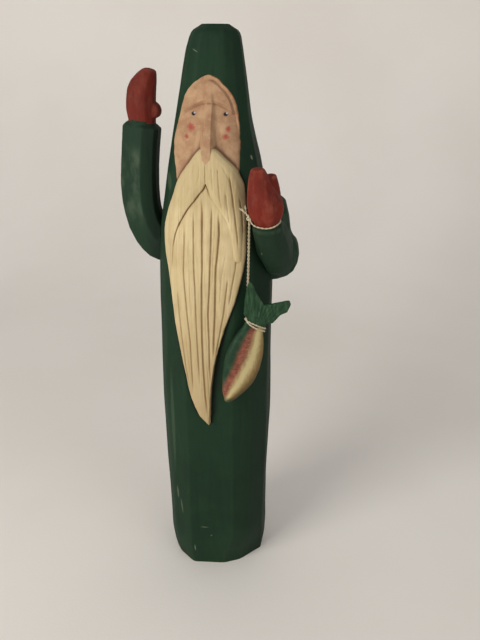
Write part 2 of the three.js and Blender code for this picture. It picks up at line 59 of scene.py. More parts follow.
# %% Camera
CAMERA_PLACE = (0.0871, -0.494, 0.4415)
SENSOR, FOCAL_LENGTH = 36, 36.56
pitch, roll, heading = (math.radians(a) for a in (22.7, 0.488, 7.872))
ahead = Vector((-math.sin(heading), math.cos(heading), 0))
side = Vector((math.cos(heading), math.sin(heading), 0))
up = ahead * math.sin(pitch) + Vector((0, 0, math.cos(pitch)))
look = ahead * math.cos(pitch) - Vector((0, 0, math.sin(pitch)))
right = side * math.cos(roll) + up * math.sin(roll)
top = -side * math.sin(roll) + up * math.cos(roll)

lens = bpy.data.cameras.new("camera")
lens.sensor_width = SENSOR
lens.lens = FOCAL_LENGTH
camera = bpy.data.objects.new("camera", lens)
bpy.context.scene.collection.objects.link(camera)
turned = Matrix((right, top, -look)).transposed().to_4x4()
camera.matrix_world = Matrix.Translation(CAMERA_PLACE) @ turned
bpy.context.scene.camera = camera
print("camera", [round(v, 4) for v in camera.location], "lens", lens.lens)

# %% [markdown]
# ## Small tools
# A few helpers keep the later cells short. Tables hold the outlines as shares of the figure's height and width,
# as a carver's pattern does, and are read by straight-line interpolation.

# %% Helpers for numbers and selections
HEIGHT, WIDTH, DEPTH = 457.0, 90.0, 84.0


def column(table, key, index):
    """Reads one column of a table whose first column rises."""
    rows = np.asarray(table, float)
    return np.interp(key, rows[:, 0], rows[:, index])


def soft_step(value, low, high):
    """From 0 at the low value to 1 at the high one, with soft ends."""
    t = np.clip((value - low) / (high - low), 0, 1)
    return t * t * (3 - 2 * t)


def nothing_selected():
    """Back in object mode, with nothing selected."""
    if bpy.context.object and bpy.context.object.mode != "OBJECT":
        bpy.ops.object.mode_set(mode="OBJECT")
    bpy.ops.object.select_all(action="DESELECT")


def only(piece):
    """Selects one piece alone and makes it the active one."""
    nothing_selected()
    piece.select_set(True)
    bpy.context.view_layer.objects.active = piece


def each_vertex(piece, what):
    """Three numbers of every vertex: its place or its normal."""
    flat = np.empty(3 * len(piece.data.vertices))
    piece.data.vertices.foreach_get(what, flat)
    return flat.reshape(-1, 3)


def points_of(piece):
    """Places of the vertices, in millimetres."""
    return each_vertex(piece, "co") / MM


def place_points(piece, points):
    """Sets the vertices; the points are in millimetres."""
    piece.data.vertices.foreach_set("co", (points * MM).ravel())
    piece.data.update()


def normals_of(piece):
    return each_vertex(piece, "normal")


def store(piece, name, values):
    """Keeps one number per vertex on the mesh, for a paint to read."""
    if name not in piece.data.attributes:
        piece.data.attributes.new(name, "FLOAT", "POINT")
    piece.data.attributes[name].data.foreach_set("value", np.asarray(values, np.float32))


def tell(piece):
    """Prints a piece's triangles and its size."""
    size = np.ptp(points_of(piece), axis=0)
    faces = sum(len(p.vertices) - 2 for p in piece.data.polygons)
    print(piece.name, faces, "triangles", [round(v, 1) for v in size], "mm")


print("figure", HEIGHT, "mm high")

# %% [markdown]
# ## Relief
# Antique wash stays in the cuts of a carving and wears off its edges. To know where that is, each point is
# compared with the same surface after a few rounds of smoothing: a point below the smoothed surface lies in a
# hollow, and a point above it is an edge. The result is stored on the mesh, so the paints can read it.

# %% Relief helper


def eased_points(piece, rounds):
    """The points of a mesh after some rounds of averaging each one with its neighbours."""
    mesh = piece.data
    ends = np.empty(2 * len(mesh.edges), np.int64)
    mesh.edges.foreach_get("vertices", ends)
    a, b = ends.reshape(-1, 2).T
    count = len(mesh.vertices)
    share = np.bincount(a, minlength=count) + np.bincount(b, minlength=count)
    share = np.maximum(share, 1)
    now = points_of(piece)
    for _ in range(rounds):
        for axis in range(3):
            value = now[:, axis]
            total = np.bincount(a, value[b], count) + np.bincount(b, value[a], count)
            now[:, axis] = 0.5 * value + 0.5 * total / share
    return now


def relief(piece, rounds):
    """Millimetres that each point lies below its smoothed neighbourhood."""
    return np.einsum("ij,ij->i", eased_points(piece, rounds) - points_of(piece), normals_of(piece))


def wavy(points, size, seed):
    """Smooth random values between about -1 and 1; size is the wave length in millimetres along x, y and z."""
    scaled = points / np.asarray(size, float) + seed
    return np.array([noise.noise(Vector(p)) for p in scaled])


print("relief and noise ready")

# %% [markdown]
# ## Twine
# The twine is a two-ply cotton string, 1.6 mm thick. Its free end sticks out at the knot on the wrist, it goes
# once round the wrist's groove, hangs straight down because the trout's weight pulls it taut, passes behind the
# tail's upper lobe and is wound twice round the root of the tail. A smooth tube would look like wire, so two
# round strands are twisted along the route, as a rope maker lays them. They are drawn thicker where the twine
# hangs free, and thinner where it is pulled tight round the wrist and the tail.

# %% Twine route
route_mm = [
    (24.5, -49.1, 338.2), (27.6, -49.0, 336.0), (30.2, -48.4, 333.5), (31.9, -47.9, 330.4),
    (33.3, -48.9, 327.7), (36.0, -50.9, 326.2), (40.2, -52.2, 325.5), (44.0, -52.7, 325.4),
    (47.6, -52.0, 325.9), (50.3, -50.2, 326.9), (52.3, -47.5, 328.0), (53.2, -44.4, 329.0),
    (52.4, -41.2, 329.9), (50.3, -38.7, 330.6), (47.0, -36.9, 330.9), (43.0, -36.2, 330.8),
    (38.9, -37.0, 330.5), (34.5, -39.0, 330.3), (31.8, -41.4, 330.0), (30.8, -42.4, 328.2),
    (30.7, -42.0, 324.5), (30.5, -41.2, 316.0), (30.1, -39.3, 290.0), (29.7, -37.4, 266.0),
    (30.8, -36.6, 256.0), (33.6, -36.1, 249.2), (37.1, -34.7, 246.9), (40.1, -34.2, 245.0),
    (42.2, -34.7, 243.5), (43.6, -37.2, 242.9), (43.4, -39.3, 243.7), (41.6, -41.3, 245.1),
    (38.6, -43.1, 246.9), (35.0, -44.5, 248.9), (32.0, -45.0, 250.5), (29.8, -44.4, 251.7),
    (28.4, -41.9, 251.9), (28.6, -39.9, 250.6), (30.3, -38.0, 248.7), (33.3, -36.2, 246.4),
    (36.6, -35.0, 243.9), (39.6, -34.6, 242.2), (41.8, -35.4, 241.2), (43.1, -38.1, 240.9),
    (42.8, -40.3, 241.8), (40.8, -42.4, 243.3), (37.7, -44.4, 245.1), (33.9, -45.9, 247.9),
    (31.1, -45.8, 250.4), (29.1, -42.3, 253.4),
]
TWINE, RING_SPACING = 1.6, 0.38


def even_line(points, spacing):
    """A smooth line through the points, with evenly spaced points of its own."""
    p = np.asarray(points, float)
    p = np.vstack([2 * p[0] - p[1], p, 2 * p[-1] - p[-2]])
    fine = []
    for i in range(1, len(p) - 2):
        a, b, c, d = p[i - 1], p[i], p[i + 1], p[i + 2]
        span = np.linalg.norm(c - b)
        m0 = (c - a) / (np.linalg.norm(b - a) + span) * span
        m1 = (d - b) / (np.linalg.norm(d - c) + span) * span
        for t in np.linspace(0, 1, 12, endpoint=False):
            fine.append((2 * t**3 - 3 * t**2 + 1) * b + (t**3 - 2 * t**2 + t) * m0
                        + (3 * t**2 - 2 * t**3) * c + (t**3 - t**2) * m1)
    fine = np.array(fine + [p[-2]])
    run = np.concatenate([[0], np.cumsum(np.linalg.norm(np.diff(fine, axis=0), axis=1))])
    marks = np.linspace(0, run[-1], int(run[-1] / spacing) + 1)
    return np.stack([np.interp(marks, run, fine[:, k]) for k in range(3)], axis=1), run[-1]


twine_line, twine_length = even_line(route_mm, RING_SPACING)
print("twine", round(twine_length, 1), "mm long,", len(twine_line), "rings")

# %% [markdown]
# Each strand is a row of small rings that is carried along the route while it turns about it. The rings must not
# spin by themselves where the route bends, so a side direction is handed on from point to point, and at each one
# only the part that points along the route is taken away. A screw modifier would do for a straight string, but
# not for one with loops.

# %% Twisted strands


def carried_frame(line):
    """Tangent and two side directions at each point, carried along the line without turning."""
    tangent = np.gradient(line, axis=0)
    tangent /= np.linalg.norm(tangent, axis=1)[:, None]
    first = np.cross(tangent[0], (0.3, 0.5, 0.8))
    sides = []
    for t in tangent:
        first = first - t * np.dot(first, t)
        first /= np.linalg.norm(first)
        sides.append(first)
    first = np.array(sides)
    return tangent, first, np.cross(tangent, first)


def faces_outwards():
    """From edit mode: turns every face outwards and goes back to object mode."""
    bpy.ops.mesh.select_all(action="SELECT")
    bpy.ops.mesh.normals_make_consistent(inside=False)
    bpy.ops.object.mode_set(mode="OBJECT")


def laid_strands(name, line, thickness, lay, swell=None, strands=2, sides=10):
    """Round strands twisted about a line; lay is the length of one full turn, swell the thickness along it."""
    _, first, second = carried_frame(line)
    run = np.concatenate([[0], np.cumsum(np.linalg.norm(np.diff(line, axis=0), axis=1))])
    swell = np.ones(len(line)) if swell is None else swell
    verts, faces, around, along = [], [], [], []
    for strand in range(strands):
        turn = 2 * math.pi * (run / lay + strand / strands)
        out = np.cos(turn)[:, None] * first + np.sin(turn)[:, None] * second
        flat = -np.sin(turn)[:, None] * first + np.cos(turn)[:, None] * second
        base = len(verts)
        for k in range(len(line)):
            radius, offset = 0.29 * thickness * swell[k], 0.24 * thickness * swell[k]
            for s in range(sides):
                angle = 2 * math.pi * s / sides
                outwards = out[k] * (offset + radius * math.cos(angle))
                verts.append(line[k] + outwards + flat[k] * radius * math.sin(angle))
                around.append(s / sides)
                along.append(run[k] + 40 * strand)
        for k in range(len(line) - 1):
            for s in range(sides):
                n = (s + 1) % sides
                faces.append((base + k * sides + s, base + k * sides + n,
                              base + (k + 1) * sides + n, base + (k + 1) * sides + s))
        faces.append(tuple(base + s for s in reversed(range(sides))))
        faces.append(tuple(base + (len(line) - 1) * sides + s for s in range(sides)))
    mesh = bpy.data.meshes.new(name)
    mesh.from_pydata([tuple(v * MM) for v in verts], [], faces)
    piece = bpy.data.objects.new(name, mesh)
    bpy.context.scene.collection.objects.link(piece)
    store(piece, "round", around)
    store(piece, "run", along)
    only(piece)
    bpy.ops.object.mode_set(mode="EDIT")
    faces_outwards()
    bpy.ops.object.shade_smooth()
    return piece


# thickness along the route, as a share: most where it hangs, least in the wrist's loop, a little more at the cut
# end and at the tail, and eased over a few rings
EASED_OVER, END_RINGS = 25, 24
twine_x, twine_z = twine_line[:, 0], twine_line[:, 2]
hanging = (twine_x < 31.4) & (twine_z < 328.5) & (twine_z > 258)
loose = np.where(hanging, 1.18, 0.66) + 0.26 * (np.arange(len(twine_line)) < END_RINGS) + 0.12 * (twine_z < 255)
swell = np.convolve(np.pad(loose, EASED_OVER // 2, mode="edge"), np.ones(EASED_OVER) / EASED_OVER, mode="valid")
twine = laid_strands("cotton_twine", twine_line, TWINE, 6.0, swell)
tell(twine)

# %% [markdown]
# The knot is a small hitch: the twine takes two short turns about itself where the loop closes on the wrist.

# %% Knot
KNOT_RADIUS, KNOT_TWIST = 0.92, 4.6 * math.pi
knot_from, knot_to = np.array((30.9, -48.0, 330.6)), np.array((30.2, -42.4, 329.8))
axis = (knot_to - knot_from) / np.linalg.norm(knot_to - knot_from)
level = np.cross(axis, (0, 0, 1))
level /= np.linalg.norm(level)
rise = np.cross(axis, level)
knot_line = [knot_from + (knot_to - knot_from) * (0.1 + 0.8 * t)
             + KNOT_RADIUS * (level * math.cos(KNOT_TWIST * t) + rise * math.sin(KNOT_TWIST * t))
             for t in np.linspace(0, 1, 40)]
knot_line = [(28.2, -46.2, 339.6), (28.7, -46.8, 336.6), (29.7, -47.6, 333.4)] + knot_line
knot_line, _ = even_line(knot_line, RING_SPACING)
knot = laid_strands("twine_knot", knot_line, 0.85 * TWINE, 5.0)
tell(knot)

for piece in (twine, knot):
    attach(piece, "root")
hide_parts("twine")

# %% [markdown]
# ## The hewn post
# The post is a twelve-sided prism that swells at the waist and narrows to the hood. The carver's outlines are
# kept in tables of shares, and the same numbers shape the front, where the robe, the face and the beard meet.
# A front that carries hundreds of small cuts can't be pushed into place face by face, so a fine grid is wrapped
# round the post, and each of its points is set to the depth that the knife leaves there.

# %% Outline tables
taper = [
    (0.000, 0.880, 0.020), (0.022, 0.918, 0.013), (0.053, 0.953, 0.005), (0.160, 0.966, -0.001),
    (0.270, 0.976, -0.003), (0.355, 0.993, -0.006), (0.450, 1.000, -0.009), (0.560, 0.994, -0.006),
    (0.617, 0.982, -0.003), (0.668, 0.945, -0.004), (0.716, 0.884, -0.005), (0.790, 0.761, -0.012),
    (0.862, 0.611, -0.024), (0.926, 0.510, -0.017), (0.965, 0.440, -0.011), (0.983, 0.395, -0.005),
    (0.991, 0.358, -0.003), (1.000, 0.205, -0.002),
]
corners = np.array([
    (-0.46, -0.94), (0.42, -0.94), (0.74, -0.72), (1.00, -0.30), (1.00, 0.34), (0.80, 0.74),
    (0.42, 0.97), (-0.40, 0.97), (-0.79, 0.76), (-1.00, 0.34), (-1.00, -0.28), (-0.84, -0.66),
])
foot_corners = corners.copy()
foot_corners[[0, 1, 2, 3, 11]] = (-0.50, -0.87), (0.21, -0.81), (0.57, -0.62), (0.99, -0.10), (-0.88, -0.51)
front_order = [10, 11, 0, 1, 2, 3]
# up to this share of the height the foot's corners turn into the post's; the second number is the hand's error
FOOT_BLEND, HAND_ERROR = 0.09, 0.011


def half_width(z):
    return column(taper, z / HEIGHT, 1) * WIDTH / 2


def half_depth(z):
    return column(taper, z / HEIGHT, 1) * DEPTH / 2


def drift(z):
    """How far the post's middle lies to the side at one height."""
    return column(taper, z / HEIGHT, 2) * WIDTH


def hewn_ring(z, grow=0.0):
    """The twelve corners of the post at one height."""
    t = soft_step(z / HEIGHT, 0, FOOT_BLEND)
    wander = 1 + HAND_ERROR * np.sin(5.3 * np.arange(12) + 17 * z / HEIGHT)
    ring = foot_corners + (corners - foot_corners) * t
    ring = ring * (half_width(z), half_depth(z)) * wander[:, None]
    ring += 1.06 * grow * ring / np.linalg.norm(ring, axis=1)[:, None]
    ring[:, 0] += drift(z)
    return ring


print("post at mid height", np.round(hewn_ring(228)[0], 1))

# %% [markdown]
# The carver draws the hood's opening, the beard and the moustache on the wood before cutting. The same lines are
# kept here as tables, and the long cuts of the gouge are lines of their own, each with a depth and a half width.

# %% Carver's pattern of the front
# height share, left reach, right reach, as shares of the width
opening = [
    (0.762, -0.275, 0.232), (0.790, -0.292, 0.231), (0.812, -0.312, 0.230), (0.830, -0.322, 0.228),
    (0.849, -0.296, 0.221), (0.873, -0.258, 0.205), (0.890, -0.234, 0.183), (0.905, -0.196, 0.143),
    (0.914, -0.154, 0.099), (0.922, -0.100, 0.055), (0.927, -0.046, 0.030),
]
opening_right = [(h, r) for h, l, r in opening[:-1]]
beard_left = [
    (0.3415, 0.000), (0.359, -0.088), (0.395, -0.164), (0.434, -0.204), (0.479, -0.250), (0.530, -0.296),
    (0.578, -0.324), (0.625, -0.354), (0.652, -0.383), (0.685, -0.400), (0.700, -0.393), (0.728, -0.351),
    (0.750, -0.306), (0.767, -0.276), (0.780, -0.242), (0.792, -0.197), (0.805, -0.147), (0.814, -0.112),
    (0.821, -0.068),
]
beard_right = [
    (0.342, 0.004), (0.359, 0.006), (0.395, 0.014), (0.434, 0.032), (0.479, 0.072), (0.530, 0.142),
    (0.578, 0.225), (0.625, 0.279), (0.652, 0.300), (0.685, 0.303), (0.709, 0.300), (0.737, 0.288),
    (0.766, 0.269), (0.778, 0.244), (0.791, 0.211), (0.801, 0.165), (0.809, 0.118), (0.817, 0.074),
    (0.821, 0.044),
]
# lower edge of the moustache, from its right tip to its left tip: width share, height share
moustache_edge = [
    (-0.330, 0.612), (-0.309, 0.643), (-0.304, 0.659), (-0.295, 0.673), (-0.279, 0.687), (-0.255, 0.700),
    (-0.214, 0.715), (-0.170, 0.729), (-0.121, 0.741), (-0.067, 0.755), (-0.040, 0.761), (-0.022, 0.769),
    (0.015, 0.750), (0.057, 0.739), (0.111, 0.725), (0.152, 0.712), (0.187, 0.692), (0.199, 0.672),
    (0.226, 0.646), (0.277, 0.647), (0.284, 0.690), (0.300, 0.700),
]
# long gouge cuts: depth and half width in millimetres, then (height share, width share) along the cut
beard_cuts = [
    (0.72, 0.80, [(0.598, -0.267), (0.550, -0.252), (0.501, -0.229), (0.450, -0.201), (0.411, -0.171)]),
    (0.86, 0.88, [(0.712, -0.196), (0.669, -0.198), (0.631, -0.206), (0.601, -0.199), (0.553, -0.180),
                (0.503, -0.156), (0.452, -0.149), (0.392, -0.137)]),
    (0.86, 0.88, [(0.736, -0.121), (0.704, -0.118), (0.634, -0.115), (0.603, -0.107), (0.555, -0.102),
                (0.505, -0.095), (0.453, -0.083), (0.410, -0.074)]),
    (1.30, 1.04, [(0.751, -0.053), (0.724, -0.046), (0.671, -0.045), (0.635, -0.043), (0.604, -0.048),
                (0.556, -0.051), (0.506, -0.050), (0.454, -0.042), (0.401, -0.029), (0.347, 0.000)]),
    (1.15, 0.96, [(0.743, 0.026), (0.725, 0.031), (0.672, 0.028), (0.635, 0.022), (0.604, 0.017),
                (0.556, 0.004), (0.507, 0.010), (0.455, 0.013), (0.420, 0.028)]),
    (1.37, 1.04, [(0.725, 0.088), (0.692, 0.094), (0.659, 0.083), (0.636, 0.070), (0.605, 0.067),
                (0.557, 0.062), (0.507, 0.051), (0.465, 0.046)]),
    (0.94, 0.88, [(0.621, 0.172), (0.605, 0.161), (0.557, 0.135), (0.507, 0.091), (0.474, 0.062)]),
    (0.79, 0.88, [(0.653, 0.231), (0.635, 0.229), (0.613, 0.209), (0.570, 0.176)]),
    (0.43, 0.64, [(0.633, -0.331), (0.617, -0.337), (0.590, -0.317)]),
    (0.43, 0.64, [(0.570, -0.020), (0.523, -0.017), (0.480, -0.004)]),
    (0.36, 0.64, [(0.690, -0.160), (0.640, -0.158), (0.590, -0.150), (0.540, -0.138)]),
    (0.36, 0.64, [(0.700, 0.060), (0.650, 0.048), (0.600, 0.040)]),
    (0.36, 0.64, [(0.660, 0.150), (0.620, 0.118), (0.570, 0.100)]),
    (0.36, 0.56, [(0.520, -0.200), (0.470, -0.178), (0.430, -0.155)]),
    (0.36, 0.56, [(0.470, -0.012), (0.420, 0.004), (0.380, 0.010)]),
]
moustache_cuts = [
    (0.72, 0.56, [(0.800, -0.026), (0.769, -0.023)]),
    (0.43, 0.72, [(0.795, 0.025), (0.776, 0.033), (0.757, 0.042)]),
    (0.58, 0.72, [(0.795, 0.074), (0.771, 0.083), (0.751, 0.095), (0.728, 0.116)]),
    (0.94, 0.80, [(0.785, 0.164), (0.756, 0.192), (0.725, 0.216), (0.696, 0.236), (0.668, 0.252)]),
    (0.58, 0.72, [(0.757, 0.141), (0.732, 0.160), (0.706, 0.178)]),
    (1.22, 0.72, [(0.750, 0.246), (0.724, 0.270), (0.698, 0.280), (0.671, 0.280), (0.646, 0.273)]),
    (0.36, 0.72, [(0.797, 0.106), (0.786, 0.143), (0.771, 0.177)]),
    (0.29, 0.72, [(0.800, -0.070), (0.780, -0.075), (0.763, -0.102)]),
    (0.29, 0.80, [(0.784, -0.173), (0.768, -0.202), (0.740, -0.250)]),
    (0.22, 0.72, [(0.790, -0.120), (0.770, -0.140), (0.745, -0.180)]),
    (0.22, 0.72, [(0.735, -0.290), (0.710, -0.320), (0.685, -0.335)]),
]
print(len(beard_cuts), "cuts in the beard,", len(moustache_cuts), "in the moustache")

# %% [markdown]
# A cut is deepest on its own line and a bevel follows the edge of its form, so the carving is worked out from
# distances: how far a point lies from a line, and how far inside an outline. Boolean cutters could do the same,
# but each one would leave its own seams in the skin.

# %% Distances on the front


def to_segment(x, z, start, end, squared_length):
    """How far along a straight piece its nearest point lies, 0 to 1, and how far away that point is."""
    (ax, az), (bx, bz) = start, end
    t = np.clip(((x - ax) * (bx - ax) + (z - az) * (bz - az)) / squared_length, 0, 1)
    return t, np.hypot(x - ax - t * (bx - ax), z - az - t * (bz - az))


def line_distance(x, z, line):
    """Millimetres from each point of the front to a cut's line, and how far along the line it is, 0 to 1."""
    pts = np.array([(w * WIDTH, h * HEIGHT) for h, w in line])
    best = np.full(x.shape, 1e9)
    share = np.zeros(x.shape)
    lengths = np.linalg.norm(np.diff(pts, axis=0), axis=1)
    total, done = lengths.sum(), 0.0
    for start, end, length in zip(pts[:-1], pts[1:], lengths):
        t, d = to_segment(x, z, start, end, length**2)
        closer = d < best
        best = np.where(closer, d, best)
        share = np.where(closer, (done + t * length) / total, share)
        done += length
    return best, share


def closed_outline(left, right, spacing=1.6):
    """A smooth closed outline, in millimetres, up the left reach and down the right one."""
    rising = [(w * WIDTH, h * HEIGHT, 0.0) for h, w in left]
    falling = [(w * WIDTH, h * HEIGHT, 0.0) for h, w in reversed(right)]
    line, _ = even_line(rising + falling, spacing)
    return line[:, :2]


def inside_of(x, z, outline):
    """Signed millimetres inside a closed outline."""
    best, inside = np.full(x.shape, 1e9), np.zeros(x.shape, bool)
    for (ax, az), (bx, bz) in zip(outline, np.roll(outline, -1, axis=0)):
        _, away = to_segment(x, z, (ax, az), (bx, bz), max((bx - ax) ** 2 + (bz - az) ** 2, 1e-9))
        best = np.minimum(best, away)
        if az != bz:
            inside ^= ((az > z) != (bz > z)) & (x < (bx - ax) * (z - az) / (bz - az) + ax)
    return np.where(inside, best, -best)


def cut_depth(x, z, cuts, fade=0.10):
    """How deep the long gouge cuts go at each point: a sharp groove with soft shoulders."""
    depth = np.zeros(x.shape)
    for deep, half, line in cuts:
        d, share = line_distance(x, z, line)
        ends = np.minimum(soft_step(share, -0.02, fade), 1 - soft_step(share, 1 - 1.6 * fade, 1.01))
        groove = 0.85 * np.clip(1 - d / half, 0, 1) + 0.15 * np.exp(-((d / (1.8 * half)) ** 2))
        depth = np.maximum(depth, deep * ends * groove) + 0.25 * np.minimum(depth, deep * ends * groove)
    return depth


print("distance helpers ready")

# %% [markdown]
# ## Face
# The face is a doll's face in plain proportions. The brow lies near a third of the way from the hood's edge to
# the nose's tip, the eyes a little below it, and the nose is a long wedge with a flat front. The knife leaves a
# ledge at the brow, two shallow hollows for the eyes and a narrow bevel inside the hood's edge.

# %% Face relief
opening_top = opening[-1][0] * HEIGHT
face_middle = -0.017 * WIDTH
nose_tip = 0.805 * HEIGHT
face_length = opening_top - nose_tip
brow_line = opening_top - 0.30 * face_length
brow_arch = 0.17 * face_length
NOSE_WIDTH, NOSE_RISE = 10.2, 7.4
FACE_RECESS, BROW_DEPTH = 2.2, 1.9
NICK_X, NICK_Z = 14.9, 399.3
# along the nose: half width of its foot, half width of its ridge, and rise, as shares
nose_table = [
    (-0.34, 0.30, 0.10, 0.00), (-0.16, 0.50, 0.22, 0.06), (0.00, 0.60, 0.36, 0.22), (0.12, 0.64, 0.40, 0.38),
    (0.45, 0.76, 0.48, 0.64), (0.72, 0.94, 0.58, 0.92), (0.86, 1.00, 0.62, 1.00), (1.12, 0.92, 0.50, 0.94),
]


def round_front(x, z):
    """Depth of the post's front if it were rounded and had no facets."""
    share = np.minimum(np.abs(x - drift(z)) / half_width(z), 0.995)
    return -half_depth(z) * (1 - share**2.5) ** (1 / 2.5)


def face_depth(x, z, within):
    """Depth of the face inside the hood's opening, before the nose."""
    edge = np.where(x < face_middle, column(opening, z / HEIGHT, 1), column(opening, z / HEIGHT, 2)) * WIDTH
    across = np.clip((x - face_middle) / (edge - face_middle), 0, 1.2)
    below = brow_line - brow_arch * across**2 - z
    cheek = soft_step(below, 1.2, 0.34 * face_length)
    hollow = BROW_DEPTH * soft_step(below, -0.7, 1.9) * (1 - 0.8 * cheek) * (1 - 0.45 * across**2)
    forehead = 0.5 * soft_step(-below, 0, 0.3 * face_length)
    ridge = -0.3 * np.exp(-(((below + 2.0) / 2.0) ** 2)) * (1 - 0.5 * across)
    flesh = round_front(x, z) * 0.97 + FACE_RECESS * (1 - 0.45 * cheek) + hollow + forehead + ridge
    flesh += 0.5 * np.exp(-(((np.abs(x - face_middle) - 8.6) / 4.0) ** 2 + ((below - 5.5) / 4.5) ** 2))
    # a crease runs down beside the nose towards the moustache, and a round cheek lies outside it
    crease = np.abs(x - face_middle) - (7.0 + 0.22 * np.clip(below - 14, 0, 30))
    flesh += 0.45 * np.exp(-((crease / 1.6) ** 2)) * soft_step(below, 12, 20)
    flesh -= 0.5 * np.exp(-(((np.abs(x - face_middle) - 13.5) / 4.5) ** 2 + ((below - 17) / 6.5) ** 2))
    # bevel inside the hood's edge, wide on the figure's left and at the top, with a knife groove inside it
    leftward = soft_step((x - face_middle) / WIDTH, -0.05, 0.05)
    near_top, off_bottom = soft_step(z / HEIGHT, 0.855, 0.885), soft_step(z / HEIGHT, 0.765, 0.80)
    wide = 0.9 + 3.4 * (1 - leftward) + (1.1 + 1.3 * near_top) * leftward * off_bottom
    groove = 0.95 * np.exp(-(((within - wide) / 0.65) ** 2)) * leftward * soft_step(z / HEIGHT, 0.868, 0.878)
    groove += 0.25 * np.exp(-(((within - wide) / 1.1) ** 2)) * leftward
    nick = np.hypot(x - NICK_X, (z - NICK_Z) * 0.8)
    groove += 1.1 * np.clip(1 - nick / 1.5, 0, 1)
    brow = 0.35 * np.exp(-(((below + 0.3) / 0.9) ** 2)) * (across < 1)
    return flesh, wide, groove, brow


def nose_proud(x, z):
    """How far the nose stands out of the face; its lower end is cut to a blunt point."""
    along = (brow_line - z) / (brow_line - nose_tip)
    foot = column(nose_table, along, 1) * NOSE_WIDTH / 2
    ridge = column(nose_table, along, 2) * NOSE_WIDTH / 2
    rise = column(nose_table, along, 3) * NOSE_RISE
    off = np.abs(x - face_middle + 0.4 * along)
    flank = np.clip((foot - off) / np.maximum(foot - ridge, 0.3), 0, 1)
    body = (0.24 + 0.76 * flank) * (off < foot) + 0.24 * np.clip(1 - (off - foot) / 0.9, 0, 1) * (off >= foot)
    lower_end = 0.94 + 0.15 * np.clip(1 - off / foot, 0, 1)
    return rise * body * (along > -0.34) * (1 - soft_step(along, lower_end - 0.006, lower_end + 0.012))


print("brow", round(brow_line, 1), "nose tip", round(nose_tip, 1), "face length", round(face_length, 1))

# %% [markdown]
# ## Front of the post
# The layers of the front are worked out in the carver's order: the hewn facets, the sunk face with its bevel,
# the beard with a stop cut round its outline, the raised moustache, the nose, and last the long gouge cuts.

# %% Carve the front


def unevenness(x, z):
    """How far the knife strayed from the drawn outlines, in millimetres."""
    flat = np.column_stack([np.ravel(x), 0 * np.ravel(x), np.ravel(z)])
    return 0.30 * wavy(flat, (3.5, 1, 3.5), 2.2).reshape(np.shape(x))


def carve_front(x, z, hewn):
    """Depth of the carved front, the signed distances inside hood and beard, and where wash lies in the cuts."""
    uneven = unevenness(x, z)
    within = inside_of(x, z, hood_outline) + uneven
    beard_in = inside_of(x, z, beard_outline) + 0.6 * uneven
    edge_table = [(h, w) for w, h in moustache_edge]
    lobe_near, _ = line_distance(x, z, edge_table)
    lower = np.interp(x / WIDTH, [w for w, h in moustache_edge], [h for w, h in moustache_edge]) * HEIGHT
    lobe_in = np.where(z > lower, lobe_near, -lobe_near)

    flesh, wide, groove, brow = face_depth(x, z, within)
    sink = soft_step(within, -0.15, 0.25)
    sloped = hewn + 0.45 + (flesh - hewn - 0.45) * soft_step(within, 0.0, wide + 0.2)
    skin = np.where(within > -0.3, hewn + (np.maximum(sloped, hewn + 0.45) + groove - hewn) * sink, hewn)
    # stop cut in the robe round the beard
    skin += 0.7 * np.exp(-((np.clip(-beard_in, 0, None) / 1.2) ** 2)) * (within < 0.3)
    nose = nose_proud(x, z)
    skin = np.minimum(skin, flesh - nose + 50 * (within < 1.0))

    left = np.interp(z / HEIGHT, *np.array(beard_left).T) * WIDTH
    right_edge = np.interp(z / HEIGHT, *np.array(beard_right).T) * WIDTH
    u = np.clip((2 * x - left - right_edge) / np.maximum(right_edge - left, 1), -1, 1)
    crown = (1 - np.abs(u) ** 2.6) ** (1 / 2.6)
    proud = 1.6 + 1.2 * crown - 0.3 * (1 - soft_step(beard_in, 0.0, 0.8))
    on_left_lobe = soft_step(x / WIDTH, -0.03, 0.02)
    on_lobe = soft_step(lobe_in, -0.30, 0.45 + 0.9 * on_left_lobe) * soft_step(x / WIDTH, -0.345, -0.285)
    swell = 0.7 + 1.0 * soft_step(lobe_in, 0, 5) * soft_step(beard_in, 0, 4)
    under = (1.1 - 0.6 * on_left_lobe) * np.exp(-np.clip(-lobe_in, 0, None) / 4.0) * (1 - on_lobe)
    proud = proud + swell * on_lobe - under * soft_step(0.30 - np.abs(x / WIDTH), 0, 0.1)
    incised = 0.9 * np.clip(1 - lobe_near / 0.75, 0, 1) * soft_step(-x / WIDTH, -0.05, 0.03) \
        * soft_step(x / WIDTH, -0.33, -0.29)
    deep = cut_depth(x, z, beard_cuts) * (1 - on_lobe) + cut_depth(x, z, moustache_cuts) * on_lobe
    proud = proud - deep - incised
    hair = round_front(x, z) - proud
    on_beard = soft_step(beard_in, -0.12, 0.22)
    nose_skin = flesh - nose
    nose_over = (nose > 2.0) & (nose_skin < hair + 0.25)
    skin = skin + (hair - skin) * on_beard
    skin = np.where(nose_over, np.minimum(skin, nose_skin), skin)
    face_wash = (1.1 * groove + brow * (nose < 1.5)) * (within > 0.3)
    washed = (deep + 0.8 * incised) * on_beard + face_wash * (1 - on_beard)
    washed = np.where(nose_over, 0, washed)
    return skin, within, np.where(nose_over, -2.0, beard_in), washed


hood_outline = closed_outline([(h, l) for h, l, r in opening] + [(0.928, -0.008)], opening_right)
beard_outline = closed_outline(beard_left, beard_right)
